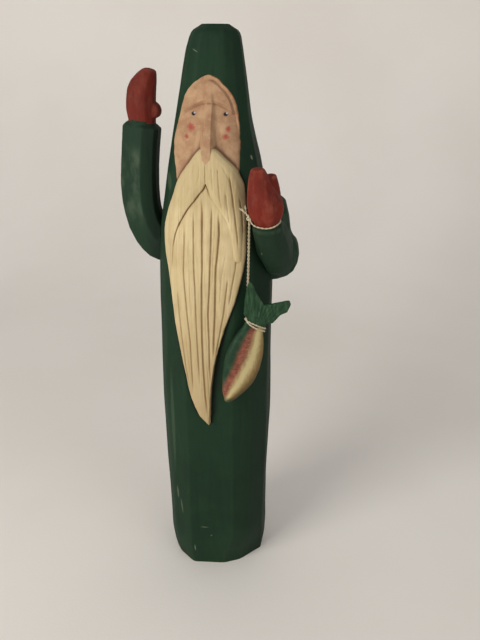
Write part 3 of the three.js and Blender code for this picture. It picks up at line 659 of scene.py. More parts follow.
# rows lie close at the face and the moustache, and closest at the foot's and the tip's rounded edges
heights = np.concatenate([
    [0, 0.5, 1.2, 2.2, 3.6, 5.2], np.arange(7.4, 151.9, 2.4), np.arange(152.4, 330, 1.1),
    np.arange(330.2, 427.0, 0.8), np.arange(427.9, 452.6, 1.5), [453.4, 454.4, 455.3, 456.1, 456.7, 457.0],
])
FRONT, EDGE_BACK = 204, np.array([0.0, 0.025, 0.07, 0.25, 0.5, 0.75, 0.93, 0.975])
print(len(heights), "rows")

# %% [markdown]
# The skin is a grid. Its rows lie close at the face and the moustache, and at the rounded foot and tip. Each row's
# columns gather over the beard and the face, so that the fine cuts get the points that they need and the plain
# robe has few. Two columns stand on each edge of the beard, which keeps that edge sharp.

# %% Rows of the skin


def eased_rings(levels):
    """Post corners at each level, with the taper's kinks eased as a draw knife leaves them."""
    span = 5.0 * soft_step(levels, 6, 30) * (1 - soft_step(levels, 420, 448)) + 0.4
    rings = 0
    for offset, weight in ((-1.5, 0.12), (-0.75, 0.2), (0, 0.36), (0.75, 0.2), (1.5, 0.12)):
        rings = rings + weight * np.array([hewn_ring(min(max(z + offset * s, 0), HEIGHT))
                                           for z, s in zip(levels, span)])
    return rings


highest = int(np.argmax(beard_outline[:, 1]))
beard_sides = beard_outline[:highest + 1], beard_outline[highest:][::-1]
EDGE_COLUMNS = 18


def gathered(z, ends):
    """Places of one row's columns: close over the beard and the face, with two on each edge of the beard."""
    low, high = (np.interp(z, edge[:, 1], edge[:, 0]) for edge in beard_sides)
    if z > 0.75 * HEIGHT:
        open_low, open_high = (column(opening, z / HEIGHT, k) * WIDTH for k in (1, 2))
        low, high = min(low, open_low), max(high, open_high)
    low, high = low - 0.6 * float(unevenness(low, z)), high + 0.6 * float(unevenness(high, z))
    least = 4 + 16 * (1 - soft_step(z, 90, 156)) + (0.5 * half_width(z) - 4) * soft_step(z, 406, 434)
    middle = (low + high) / 2
    low, high = min(low, middle - least), max(high, middle + least)
    marks = [ends[0], low - 0.2, low + 0.28, high - 0.28, high + 0.2, ends[1]]
    steps = [0, EDGE_COLUMNS, EDGE_COLUMNS + 1, FRONT - EDGE_COLUMNS - 1, FRONT - EDGE_COLUMNS, FRONT]
    return np.interp(np.arange(FRONT + 1), steps, marks)


def hewn_depth(x, ring):
    """Depth of the hewn facets across a row, with the corners between them eased by the knife."""
    reach = np.linspace(-4.4, 4.4, 23)
    weights = np.exp(-0.5 * (reach / 1.8) ** 2)
    return sum(w * np.interp(x + o, ring[front_order, 0], ring[front_order, 1])
               for o, w in zip(reach, weights / weights.sum()))


rings = eased_rings(heights)
front_x = np.array([gathered(z, (ring[10, 0], ring[3, 0])) for z, ring in zip(heights, rings)])
front_z = np.repeat(heights[:, None], FRONT + 1, axis=1)
hewn = np.array([hewn_depth(x, ring) for x, ring in zip(front_x, rings)])
hewn[:, [0, -1]] = rings[:, 10, 1][:, None] * (1, 0) + rings[:, 3, 1][:, None] * (0, 1)
front_y, opening_in, beard_in, washed = carve_front(front_x, front_z, hewn)

back = []
for here in range(3, 10):
    for s in EDGE_BACK[(1 if here == 3 else 0):]:
        back.append(rings[:, here] * (1 - s) + rings[:, here + 1] * s)
back = np.array(back).transpose(1, 0, 2)
print("front", front_x.shape, "back", back.shape)

# %% [markdown]
# Blender's grid is flat. Each of its points is moved to its place on the post, the first and the last column are
# merged, and the two open ends are filled, so that the post is closed all round.

# %% Wrap the grid round the post


def wrapped_grid(name, points, fields):
    """A flat grid whose points are set in place; its last column meets the first, and its ends are filled."""
    rows, columns = points.shape[:2]
    nothing_selected()
    bpy.ops.mesh.primitive_grid_add(x_subdivisions=columns - 1, y_subdivisions=rows - 1, size=2)
    piece = bpy.context.object
    piece.name = piece.data.name = name
    flat = points_of(piece) * MM
    i = np.rint((flat[:, 0] + 1) / 2 * (columns - 1)).astype(int)
    j = np.rint((flat[:, 1] + 1) / 2 * (rows - 1)).astype(int)
    place_points(piece, points[j, i])
    for field, values in fields.items():
        store(piece, field, values[j, i])
    bpy.ops.object.mode_set(mode="EDIT")
    bpy.ops.mesh.select_all(action="SELECT")
    bpy.ops.mesh.remove_doubles(threshold=1e-6)
    bpy.ops.mesh.select_all(action="SELECT")
    bpy.ops.mesh.fill_holes(sides=0)
    faces_outwards()
    return piece


front = np.stack([front_x, front_y, front_z], axis=2)
rear = np.concatenate([back, np.repeat(heights[:, None, None], back.shape[1], axis=1)], axis=2)
skin = np.concatenate([front, rear, front[:, :1]], axis=1)
plain = np.full((len(heights), back.shape[1]), -30.0)
fields = {name: np.concatenate([values, 0 * plain if name == "cuts" else plain, values[:, :1]], axis=1)
          for name, values in (("hood_opening", opening_in), ("beard", beard_in), ("cuts", washed))}
body = wrapped_grid("carved_post", skin, fields)
tell(body)

# %% [markdown]
# A knife never leaves a long facet quite flat. Slow waves, long up and down the grain and short across it, are
# added to the robe, and finer ones to the beard, always a few tenths of a millimetre deep.

# %% Knife marks on the post


def stored(piece, name):
    """Reads back what store has kept."""
    values = np.empty(len(piece.data.vertices))
    piece.data.attributes[name].data.foreach_get("value", values)
    return values


def shade_with_edges(piece):
    """Smooth shading that leaves the knife's edges crisp."""
    only(piece)
    bpy.ops.object.shade_smooth_by_angle(angle=math.radians(50))


points, normal = points_of(body), normals_of(body)
on_beard, in_face = stored(body, "beard"), stored(body, "hood_opening")
robe = (on_beard < -0.5) & (in_face < -0.5)
waves = 0.42 * wavy(points, (16, 16, 60), 3.1) + 0.16 * wavy(points, (5, 5, 22), 9.7)
hair_marks = 0.20 * wavy(points, (2.0, 30, 30), 5.3) + 0.12 * wavy(points, (4, 20, 12), 1.9)
face_marks = 0.16 * wavy(points, (4, 8, 6), 7.7)
move = np.where(robe, waves, np.where(on_beard > 0, hair_marks * soft_step(on_beard, 0, 2), face_marks))
move *= soft_step(points[:, 2], 0.2, 6) * (1 - soft_step(points[:, 2], 452, 456.5))
place_points(body, points + normal * move[:, None])
store(body, "hollow", relief(body, 10))
store(body, "hollow_wide", relief(body, 60))
# nearness of the post's long corners, where hands have rubbed the paint
to_corner = np.full(len(points), 99.0)
for corner in range(12):
    at = np.stack([np.interp(points[:, 2], heights, rings[:, corner, k]) for k in (0, 1)], axis=1)
    to_corner = np.minimum(to_corner, np.linalg.norm(points[:, :2] - at, axis=1))
store(body, "edge", 0.55 * np.exp(-((to_corner / 2.2) ** 2)))
shade_with_edges(body)
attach(body, "root")
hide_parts("carved_body")
tell(body)

# %% [markdown]
# ## Arms
# Each arm is whittled from its own stick. Its section is a square with cut corners, and the sleeve, the mitten
# and the thumb are pulled out of it ring by ring. In Blender that is a disc with eight sides, extruded from
# station to station. The overlapping forms are then melted into one skin with a fine voxel remesh, which also
# rounds the knife's edges a little, as paint does.

# %% Helpers for whittled forms
cut = 0.44
octagon = [(1, cut), (cut, 1), (-cut, 1), (-1, cut), (-1, -cut), (-cut, -1), (cut, -1), (1, -cut)]


def unit(v):
    """A direction of length one."""
    v = np.asarray(v, float)
    return v / np.linalg.norm(v)


def section(at, width, depth, facing, guide=(1, 0, 0), guide_is_deep=False, shape=octagon):
    """One ring of a form, square to its facing; the guide says where its width, or its depth, points."""
    along = unit(facing)
    first = unit(np.asarray(guide, float) - along * np.dot(guide, along))
    second = np.cross(along, first)
    across, deep = (second, first) if guide_is_deep else (first, second)
    return np.array([np.asarray(at) + across * p * width / 2 + deep * q * depth / 2 for p, q in shape])


def drawn_out(name, stations):
    """A disc with as many sides as a station has points, extruded from station to station."""
    nothing_selected()
    bpy.ops.mesh.primitive_circle_add(vertices=len(stations[0]), radius=1, fill_type="NGON")
    piece = bpy.context.object
    piece.name = piece.data.name = name
    place_points(piece, stations[0])
    bpy.ops.object.mode_set(mode="EDIT")
    bpy.ops.mesh.select_all(action="SELECT")
    for before, after in zip(stations[:-1], stations[1:]):
        bpy.ops.mesh.extrude_region_move()
        mesh = bmesh.from_edit_mesh(piece.data)
        for vert in (v for v in mesh.verts if v.select):
            nearest = np.argmin(np.linalg.norm(before * MM - np.array(vert.co), axis=1))
            vert.co = after[nearest] * MM
        bmesh.update_edit_mesh(piece.data)
    faces_outwards()
    return piece


def apply(piece, kind, **settings):
    """Gives a piece a modifier and makes it permanent."""
    only(piece)
    modifier = piece.modifiers.new(kind.lower(), kind)
    for key, value in settings.items():
        setattr(modifier, key, value)
    bpy.ops.object.modifier_apply(modifier=modifier.name)


def skinned(piece, voxel, rounds):
    """A fine even skin over a form, whose edges are then eased."""
    apply(piece, "REMESH", mode="VOXEL", voxel_size=voxel * MM)
    start = points_of(piece)
    place_points(piece, start + (eased_points(piece, rounds) - start))
    return piece


def whittled(name, stations, voxel, rounds):
    """A drawn-out form with a fine even skin and eased edges."""
    return skinned(drawn_out(name, stations), voxel, rounds)


def melted(name, parts, voxel, rounds):
    """Overlapping forms made one skin."""
    nothing_selected()
    for part in parts:
        part.select_set(True)
    bpy.context.view_layer.objects.active = parts[0]
    bpy.ops.object.join()
    piece = bpy.context.object
    piece.name = piece.data.name = name
    return skinned(piece, voxel, rounds)


def knife_marks(piece, deep, size, seed):
    """Moves the skin in and out in slow waves, with finer ones on them."""
    points = points_of(piece)
    move = deep * wavy(points, size, seed) + 0.4 * deep * wavy(points, [s / 3 for s in size], seed + 4)
    place_points(piece, points + normals_of(piece) * move[:, None])


print("whittling helpers ready")

# %% [markdown]
# The raised arm leaves the robe, turns upwards and ends in a cuff, with a mitten whose tip leans towards the hood.
# Sleeve, mitten and thumb are three tapering forms, so each has a table of rings.

# %% Raised arm
ROBE_SIDE = float(half_width(0.45 * HEIGHT))
CUFF, SEAT = 0.845 * HEIGHT, 0.6475 * HEIGHT
SLEEVE_WIDTH, SLEEVE_DEPTH, REACH = 28.2, 27.0, 15.9
# each row: rise from seat to cuff, reach outwards and width as shares, and the ring's lean in degrees
sleeve_table = [
    (-0.018, -0.90, 0.98, 86), (0.012, 0.00, 0.98, 80), (0.028, 0.17, 0.98, 61), (0.054, 0.31, 0.97, 45),
    (0.104, 0.51, 0.97, 31), (0.192, 0.75, 0.98, 18), (0.305, 0.91, 0.98, 10), (0.385, 0.97, 0.99, 2),
    (0.530, 1.00, 1.00, -2), (0.690, 0.95, 0.98, -5), (0.850, 0.86, 0.97, -6), (1.000, 0.765, 0.98, -6),
    (1.003, 0.765, 0.98, -6),
]
MITTEN_WIDTH, MITTEN_DEPTH, MITTEN_HEIGHT = 21.2, 20.0, 41.5
# each row: rise, shift in millimetres, width, depth, and for the mitten the ring's lean in degrees
mitten_table = [
    (-0.17, -0.9, 0.86, 0.84, 0), (0.08, -0.9, 0.92, 0.90, 0), (0.30, -0.3, 1.00, 1.00, 0),
    (0.48, -0.5, 1.00, 1.00, 0), (0.65, -1.4, 0.97, 0.95, -6), (0.76, -3.0, 0.88, 0.88, -12),
    (0.87, -5.8, 0.68, 0.78, -20), (0.95, -8.2, 0.48, 0.62, -24), (0.99, -9.4, 0.33, 0.48, -16),
]
thumb_table = [
    (0.16, -9.6, 0.30, 0.50), (0.22, -11.2, 0.38, 0.58), (0.30, -11.8, 0.38, 0.58), (0.38, -11.3, 0.32, 0.48),
    (0.44, -10.0, 0.20, 0.32),
]
sleeve_section = octagon[:4] + [(-1, -0.34), (-0.88, -0.74), (-0.25, -1), (1, -0.42)]
CUFF_BEVEL, CUFF_MOUTH = 3.4, 0.73


def leaning(degrees):
    """Upwards, but leaning by so many degrees towards -X."""
    return (-math.sin(math.radians(degrees)), 0, math.cos(math.radians(degrees)))


arm_middle = -(ROBE_SIDE + REACH * sleeve_table[-1][1])
sleeve_rings = [
    section((-(ROBE_SIDE + REACH * out), 0, SEAT + rise * (CUFF - SEAT)), w * SLEEVE_WIDTH, SLEEVE_DEPTH,
            leaning(turn), (0, 1, 0), True, sleeve_section) for rise, out, w, turn in sleeve_table]
sleeve_rings.append(section((arm_middle, 0, CUFF + CUFF_BEVEL), CUFF_MOUTH * SLEEVE_WIDTH,
                            CUFF_MOUTH * SLEEVE_DEPTH, leaning(sleeve_table[-1][3]), (0, 1, 0), True,
                            sleeve_section))
mitten_rings = [section((arm_middle - shift, -1, CUFF + rise * MITTEN_HEIGHT), w * MITTEN_WIDTH, d * MITTEN_DEPTH,
                        leaning(turn)) for rise, shift, w, d, turn in mitten_table]
thumb_rings = [section((arm_middle - shift, -1, CUFF + rise * MITTEN_HEIGHT), w * MITTEN_WIDTH, d * MITTEN_DEPTH,
                       (0, 0, 1)) for rise, shift, w, d in thumb_table]
raised = melted("raised_arm_whittled", [
    whittled("sleeve", sleeve_rings, 0.5, 2), whittled("mitten", mitten_rings, 0.6, 22),
    whittled("thumb", thumb_rings, 0.6, 10)], 0.6, 2)
knife_marks(raised, 0.20, (9, 9, 22), 2.4)
tell(raised)

# %% [markdown]
# The bent arm goes down to the elbow and comes forward and up to the wrist. Its mitten stands upright above the
# groove that holds the twine. The sleeve is two forms that overlap at the elbow, because one row of rings would
# fold over itself in so tight a bend.

# %% Bent arm
UPPER_DEPTH, STAND_OFF, FORE_WIDTH, FORE_THICK = 27.0, 15.4, 23.6, 29.0
HAND_WIDTH, HAND_DEPTH, HAND_HEIGHT = 24.6, 21.0, 37.4
WRIST_WIDTH, WRIST_DEPTH, GROOVE = 17.0, 14.0, 2.8
elbow = np.array((ROBE_SIDE + 0.64 * STAND_OFF, 0.07 * UPPER_DEPTH, 0.634 * HEIGHT))
wrist = np.array((ROBE_SIDE - 1.4, -0.524 * DEPTH, 0.7145 * HEIGHT))
hand_tilt, cuff_tilt = unit((-0.04, -0.16, 1)), unit((-0.07, -0.34, 0.94))
upper_table = [
    (0.742, 0.60, 0.62), (0.731, 0.94, 0.88), (0.704, 1.02, 1.00), (0.680, 1.02, 1.00), (0.672, 1.10, 1.00),
    (0.666, 1.31, 1.00), (0.656, 1.39, 1.00), (0.640, 1.42, 1.00), (0.628, 1.35, 0.97), (0.613, 1.14, 0.90),
    (0.603, 0.78, 0.74), (0.596, 0.30, 0.50),
]
fore_table = [
    (-0.165, 0.8, 0.40, 0.50), (-0.10, 1.4, 0.66, 0.88), (0.03, 2.0, 0.92, 1.13), (0.26, 3.0, 1.06, 1.22),
    (0.52, 2.4, 1.11, 1.10), (0.78, 0.8, 1.02, 0.86),
]
hand_table = [
    (0.00, 0.0, 0.76, 0.76), (0.09, -0.1, 0.93, 0.90), (0.20, -0.2, 1.03, 0.98), (0.36, -0.9, 1.02, 1.00),
    (0.55, -2.6, 0.83, 0.95), (0.72, -4.0, 0.66, 0.86), (0.87, -4.9, 0.51, 0.68), (0.99, -5.2, 0.37, 0.42),
]
hand_thumb_table = [
    (0.10, 4.6, 0.34, 0.34), (0.22, 5.6, 0.41, 0.46), (0.48, 4.9, 0.39, 0.56), (0.61, 4.4, 0.38, 0.56),
    (0.73, 3.9, 0.34, 0.52), (0.86, 3.1, 0.31, 0.44),
]


def on_hand(rise, across=0.0, back_by=0.0):
    """A place above the wrist, measured along the mitten."""
    return wrist + hand_tilt * rise + np.array((across, back_by, 0))


inner = 0.6 * ROBE_SIDE
upper_rings = []
for share, out, deep in upper_table:
    outer = float(half_width(share * HEIGHT)) + out * STAND_OFF
    forward = 3.4 * float(soft_step(-share, -0.674, -0.664))
    upper_rings.append(section(((outer + inner) / 2, 1 - forward, share * HEIGHT), outer - inner,
                               deep * UPPER_DEPTH, (0, 0, -1)))
along_arm = wrist - elbow
fore_rings = [section(elbow + along_arm * s - np.array((sag, 0, sag)), w * FORE_WIDTH, th * FORE_THICK, along_arm)
              for s, sag, w, th in fore_table]
fore_rings.append(section(wrist - 2.2 * cuff_tilt, WRIST_WIDTH + 4.6, WRIST_DEPTH + 5.4, cuff_tilt))
fore_rings.append(section(wrist, WRIST_WIDTH + 2.6, WRIST_DEPTH + 3.0, cuff_tilt))
hand_rings = [section(wrist + cuff_tilt * r, WRIST_WIDTH, WRIST_DEPTH, cuff_tilt) for r in (-5, GROOVE)]
hand_rings += [section(on_hand(GROOVE + 0.5 + r * HAND_HEIGHT, shift), w * HAND_WIDTH, d * HAND_DEPTH,
                       cuff_tilt if n < 2 else hand_tilt) for n, (r, shift, w, d) in enumerate(hand_table)]
thumb_rings = [section(on_hand(GROOVE + r * HAND_HEIGHT, shift, 5.6), w * HAND_WIDTH, d * HAND_DEPTH, hand_tilt)
               for r, shift, w, d in hand_thumb_table]
bent = melted("bent_arm_whittled", [
    whittled("upper_sleeve", upper_rings, 0.7, 9), whittled("lower_sleeve", fore_rings, 0.7, 22),
    whittled("hand", hand_rings, 0.6, 20), whittled("hand_thumb", thumb_rings, 0.6, 4)], 0.6, 2)
knife_marks(bent, 0.20, (9, 12, 18), 6.1)
tell(bent)

# %% [markdown]
# The arms are glued to flats on the robe. A copy of the hewn post, one glue line larger, is cut out of each arm,
# so that the arm ends on the robe's own facets.

# %% Seat the arms on the robe
GLUE_LINE = 0.3
levels = np.array([row[0] for row in taper]) * HEIGHT
post = drawn_out("post_form", [np.column_stack([hewn_ring(z, GLUE_LINE), np.full(12, z)]) for z in levels])
for arm in (raised, bent):
    apply(arm, "BOOLEAN", operation="DIFFERENCE", object=post, solver="EXACT")
    tell(arm)
bpy.data.objects.remove(post)

# %% [markdown]
# The paint has to know where on the arm it is. Each point stores how far it lies past the cuff, where a facet that
# faces a lamp is painted lighter, as rubbed paint and painted light, and how much it is a hollow or an edge.

# %% Fields for the arms' paint
cuff_facing = np.array(leaning(sleeve_table[-1][3]))
spots = points_of(raised)
above = (spots - (arm_middle, 0, CUFF)) @ cuff_facing
front_dip = 1.5 * soft_step(-spots[:, 1], 6, 9) * (np.abs(spots[:, 0] - arm_middle) < 6)
store(raised, "mitten", above - CUFF_BEVEL - front_dip)
# the wide facet in front, which faces the window lamp, is rubbed by handling and painted lighter as painted light
facing = normals_of(raised) @ unit((-0.42, -0.91, 0.0))
rub_and_light = soft_step(facing, 0.93, 0.99) * soft_step(spots[:, 2], 308, 330)
store(raised, "rub_and_light", rub_and_light * (1 - soft_step(spots[:, 2], 366, 378)))
spots = points_of(bent)
store(bent, "mitten", np.minimum((spots - wrist) @ cuff_tilt, -20 - spots[:, 1]))
# painted light: the bent forearm's facets that face the lamps are painted lighter
facing = normals_of(bent) @ unit((0.55, -0.80, 0.1))
store(bent, "rub_and_light", 0.7 * soft_step(facing, 0.84, 0.98) * (spots[:, 2] < 326))
for arm, node in ((raised, "raised_arm"), (bent, "bent_arm")):
    store(arm, "hollow", relief(arm, 8))
    store(arm, "edge", -relief(arm, 30))
    shade_with_edges(arm)
    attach(arm, "root")
    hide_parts(node)
print("arms seated")

# %% [markdown]
# ## Trout
# The trout is sawn from thin board and rounded over with a knife, and its tail stays flat. It is worked in the
# fish's own directions, along it, across it and out of its flat side, so that the outline is read as on a
# template. The body is drawn out ring by ring, the tail is a plate of the same thickness as its root.

# %% Trout form
fish_turn, fish_lean = math.radians(24), math.radians(21)
outward = np.array((math.sin(fish_turn), -math.cos(fish_turn), 0))
sidewards = np.array((math.cos(fish_turn), math.sin(fish_turn), 0))
fish_level = 0.538 * HEIGHT
support = float(np.max(hewn_ring(fish_level) @ outward[:2]))
FISH_WIDTH, FISH_THICK, FISH_LENGTH, TAIL_THICK, TAIL_LENGTH = 31.0, 13.0, 67.0, 4.0, 31.5
tail_root = sidewards * 0.192 * WIDTH + outward * (support + FISH_THICK / 2 + 0.6) + np.array((0, 0, fish_level))
downward = np.array((0, 0, -math.cos(fish_lean))) - sidewards * math.sin(fish_lean)
across_fish = unit(np.cross(outward, downward))


def on_fish(down, across, out):
    """A place given in the fish's own directions, in millimetres from the tail's root."""
    return tail_root + downward * down + across_fish * across + outward * out


# each row: share of the length, reach of the back, reach of the belly and thickness, as shares
trout_table = np.array([
    (-0.10, 0.34, 0.30, 0.40), (-0.055, 0.300, 0.235, 0.54), (0.050, 0.300, 0.235, 0.54),
    (0.120, 0.37, 0.32, 0.74), (0.22, 0.42, 0.41, 0.86), (0.33, 0.46, 0.48, 0.95), (0.50, 0.44, 0.535, 1.00),
    (0.66, 0.35, 0.52, 0.98), (0.79, 0.26, 0.41, 0.88), (0.91, 0.155, 0.25, 0.68), (0.97, 0.06, 0.17, 0.50),
    (1.00, 0.01, 0.11, 0.30),
])
shares = np.concatenate([np.linspace(-0.10, 0.9, 34), np.linspace(0.92, 1.0, 8)])
eased = np.array([[np.mean([np.interp(s + o, trout_table[:, 0], trout_table[:, k]) for o in (-0.03, 0, 0.03)])
                   for k in (1, 2, 3)] for s in shares])
round_section = []
for k in range(20):
    angle = 2 * math.pi * (k + 0.5) / 20
    c, s = math.cos(angle), math.sin(angle)
    round_section.append((math.copysign(abs(c) ** 0.95, c), math.copysign(abs(s) ** 0.72, s)))
fish_rings = []
for share, (back_reach, belly_reach, thick) in zip(shares, eased):
    middle = (belly_reach - back_reach) * FISH_WIDTH / 2
    half = (belly_reach + back_reach) * FISH_WIDTH / 2
    fish_rings.append(np.array([on_fish(share * FISH_LENGTH, middle + p * half, q * thick * FISH_THICK / 2)
                                for p, q in round_section]))
tail_outline = [
    (-0.24, -4.0), (-0.24, 3.6), (-0.39, 5.4), (-0.52, 0.56 * TAIL_LENGTH), (-0.58, 0.84 * TAIL_LENGTH),
    (-0.57, TAIL_LENGTH), (-0.50, 0.98 * TAIL_LENGTH), (-0.28, 0.76 * TAIL_LENGTH), (0.0, 0.55 * TAIL_LENGTH),
    (0.29, 0.68 * TAIL_LENGTH), (0.60, 0.83 * TAIL_LENGTH), (0.66, 0.76 * TAIL_LENGTH),
    (0.65, 0.54 * TAIL_LENGTH), (0.50, 0.42 * TAIL_LENGTH), (0.38, 5.6), (0.188, 3.6), (0.188, -4.0),
]
tail_rings = [np.array([on_fish(-up, a * FISH_WIDTH, out) for a, up in tail_outline])
              for out in (-TAIL_THICK / 2, TAIL_THICK / 2)]
trout = melted("trout_carved", [whittled("trout_body", fish_rings, 0.5, 4), drawn_out("trout_tail", tail_rings)],
               0.42, 2)
tell(trout)

# %% [markdown]
# The tail is thinned towards its tips, and its rays are drawn by moving the points a little in and out. The
# painted bands follow the fish, so their edges are given along it, and each point stores where it lies between
# them.

# %% Shape and fields of the trout
spots = points_of(trout) - tail_root
down, over, out = spots @ downward, spots @ across_fish, spots @ outward
thinner = 1 - 0.42 * soft_step(-down, 6, 26)
rays = 0.16 * np.sin(3.1 * np.degrees(np.arctan2(over - 0.4, -down + 5)) / 4.2) * soft_step(-down, 5, 10)
side_of = np.sign(out)
moved = down[:, None] * downward + over[:, None] * across_fish + (out * thinner + rays * side_of)[:, None] * outward
place_points(trout, moved + tail_root)
knife_marks(trout, 0.10, (5, 5, 8), 8.8)
# the stripe's two edges and the belly's edge, in millimetres across the fish at each length
bands = [(-2, -3.2, 1.4, 6.5), (5, -5.4, -0.4, 8.6), (14, -7.0, 0.2, 11.6), (23, -7.6, 0.5, 13.2),
         (32, -7.4, -0.2, 13.0), (41, -7.4, -1.6, 11.2), (50, -7.8, -2.2, 7.6), (58, -6.9, -2.4, 4.0),
         (66, -5.6, -2.2, 0.4)]
first, second, third = (column(bands, down, k) for k in (1, 2, 3))
band = np.where(over < second, (over - first) / (second - first), 1 + (over - second) / (third - second))
store(trout, "band", band)
store(trout, "down", down)
store(trout, "hollow", relief(trout, 8))
shade_with_edges(trout)
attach(trout, "root")
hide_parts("trout")
tell(trout)

# %% [markdown]
# ## Paints
# The paints are thin, brushed on by hand and rubbed back. Each one is a node tree on Object coordinates or on
# the fields that were stored on the mesh. A small helper class gives the nodes short names.

# %% Paint helper


def tone(r, g, b):
    """A colour from its screen values, 0 to 255."""
    return tuple((v / 255 / 12.92 if v <= 10 else ((v / 255 + 0.055) / 1.055) ** 2.4) for v in (r, g, b)) + (1.0,)


class Recipe:
    """A material and short words for its nodes."""

    def __init__(self, name, **fixed):
        self.material = bpy.data.materials.new(name)
        self.material.use_nodes = True
        self.tree = self.material.node_tree
        self.shader = self.tree.nodes["Principled BSDF"]
        for key, value in fixed.items():
            self.put(self.shader.inputs[key.replace("_", " ")], value)
        self.object = self.node("ShaderNodeTexCoord").outputs["Object"]

    def put(self, socket, value):
        """Gives a socket a fixed value, or links the output of another node to it."""
        if isinstance(value, bpy.types.NodeSocket):
            self.tree.links.new(value, socket)
        else:
            socket.default_value = value

    def node(self, kind, **inputs):
        """A new node; each of its inputs takes a fixed value or the output of another node."""
        node = self.tree.nodes.new(kind)
        for name, value in inputs.items():
            self.put(node.inputs[name.replace("_", " ")], value)
        return node

    def field(self, name):
        """One of the numbers that were stored on the mesh."""
        node = self.node("ShaderNodeAttribute")
        node.attribute_name = name
        return node.outputs["Fac"]

    def axis(self, letter):
        """The place along X, Y or Z, in metres."""
        return self.node("ShaderNodeSeparateXYZ", Vector=self.object).outputs[letter]

    def noise(self, scale, detail, rough, twist=0.0, vector=None):
        """Cloudy values between 0 and 1; a larger scale makes smaller clouds."""
        return self.node("ShaderNodeTexNoise", Vector=vector or self.object, Scale=scale, Detail=detail,
                         Roughness=rough, Distortion=twist).outputs["Fac"]

    def streaks(self, fineness, detail, rough, twist=0.0, turn=(0, 0, 0)):
        """Noise that is drawn out; it is finer along an axis the larger that axis's number is."""
        drawn = self.node("ShaderNodeMapping", Vector=self.object, Scale=fineness, Rotation=turn).outputs[0]
        return self.noise(1, detail, rough, twist, drawn)

    def cells(self, scale):
        """Distance from the middle of the nearest of many scattered cells."""
        return self.node("ShaderNodeTexVoronoi", Vector=self.object, Scale=scale).outputs["Distance"]

    def calc(self, operation, first, second=0.0):
        node = self.node("ShaderNodeMath")
        node.operation = operation
        self.put(node.inputs[0], first)
        self.put(node.inputs[1], second)
        return node.outputs[0]

    def times(self, *values):
        product = values[0]
        for value in values[1:]:
            product = self.calc("MULTIPLY", product, value)
        return product

    def plus(self, *values):
        total = values[0]
        for value in values[1:]:
            total = self.calc("ADD", total, value)
        return total

    def swing(self, pattern, much):
        """A noise that swings about nought, to make a line waver."""
        return self.times(self.calc("SUBTRACT", pattern, 0.5), much)

    def step(self, value, low, high):
        """A mask: 0 at the low value, 1 at the high one, and soft between them."""
        node = self.node("ShaderNodeMapRange", Value=value, From_Min=low, From_Max=high)
        node.interpolation_type = "SMOOTHSTEP"
        return node.outputs[0]

    def mix(self, share, first, second):
        """Two colours; the share says how much of the second one shows."""
        node = self.node("ShaderNodeMix", Factor=share)
        node.data_type = "RGBA"
        self.put(node.inputs[6], first)
        self.put(node.inputs[7], second)
        return node.outputs[2]

    def coat(self, under, paint, *where):
        """A paint over what lies under it; where holds masks and a share, which are multiplied."""
        return self.mix(self.times(*where), under, tone(*paint))

    def mottled(self, pattern, low, high, first, second):
        """Two paints that run into each other as a pattern rises."""
        return self.mix(self.step(pattern, low, high), tone(*first), tone(*second))

    def finish(self, colour, roughness, height, deep):
        """Joins the parts of the recipe; deep is how far the height stands out, in metres."""
        bump = self.node("ShaderNodeBump", Strength=1.0, Distance=deep, Height=height)
        self.put(self.shader.inputs["Base Color"], colour)
        self.put(self.shader.inputs["Roughness"], roughness)
        self.put(self.shader.inputs["Normal"], bump.outputs[0])
        return self.material


def painted(material, *pieces):
    """Gives the pieces this one material."""
    for piece in pieces:
        piece.data.materials.clear()
        piece.data.materials.append(material)
        print(piece.name, "wears", material.name)


print("paint helper ready")

# %% [markdown]
# ### Green paint
# The robe's green is a dark satin paint. Brush strokes run up and down, the colour is a little uneven, the long
# edges are rubbed lighter and a few small chips show. The same recipe covers the sleeves.

# %% Green paint
BRUSHED = 0.00022


def green_coat(r, wear):
    """Colour, roughness and height of the green paint; wear says how far its edges are rubbed."""
    cloudy = r.noise(60, 4, 0.6)
    strokes = r.streaks((420, 420, 26), 4, 0.6)
    colour = r.mottled(r.noise(14, 3, 0.5), 0.35, 0.68, (15, 42, 23), (21, 50, 29))
    colour = r.coat(colour, (30, 54, 33), r.step(cloudy, 0.45, 0.75), 0.45)
    colour = r.coat(colour, (10, 30, 15), r.step(strokes, 0.5, 0.75), 0.4)
    colour = r.coat(colour, (70, 84, 60), r.step(r.plus(r.field("edge"), r.swing(cloudy, 0.7)), 0.16, 0.50), wear)
    colour = r.coat(colour, (12, 20, 13), r.step(r.field("hollow"), 0.06, 0.45), 0.7)
    # a chip is the middle of a cell, in the few places where a slow noise is high
    chip = r.times(r.step(r.noise(38, 2, 0.5), 0.66, 0.68), r.step(r.cells(62), 0.11, 0.08))
    colour = r.coat(colour, (130, 134, 98), chip)
    height = r.plus(r.times(strokes, 0.5), r.times(r.noise(900, 2, 0.5), 0.2), r.times(chip, -0.8))
    return colour, r.plus(r.times(cloudy, 0.16), 0.66), height


def bare_wood(r):
    """The colour of the wood where it has no paint."""
    return r.mottled(r.streaks((260, 40, 260), 5, 0.6, 0.4), 0.3, 0.7, (176, 140, 98), (132, 96, 60))


print("green coat and bare wood ready")

# %% [markdown]
# ### Face, beard and the whole post
# One material paints the post, because on the real one the coats meet on one piece of wood. The stored distances
# to the hood's opening and to the beard's outline say where one coat stops and the next begins, and a little
# noise makes the brush line waver. Brown wash lies in the cuts of the light coats.

# %% Where the post's coats meet
r = Recipe("painted_post", Specular_IOR_Level=0.22)
green, green_rough, green_height = green_coat(r, 0.05)
waver = r.swing(r.noise(420, 2, 0.5), 0.9)
is_beard = r.step(r.plus(r.field("beard"), r.times(waver, 0.25)), -0.24, -0.10)
is_face = r.step(r.plus(r.field("hood_opening"), r.times(waver, 0.6)), -0.14, 0.06)


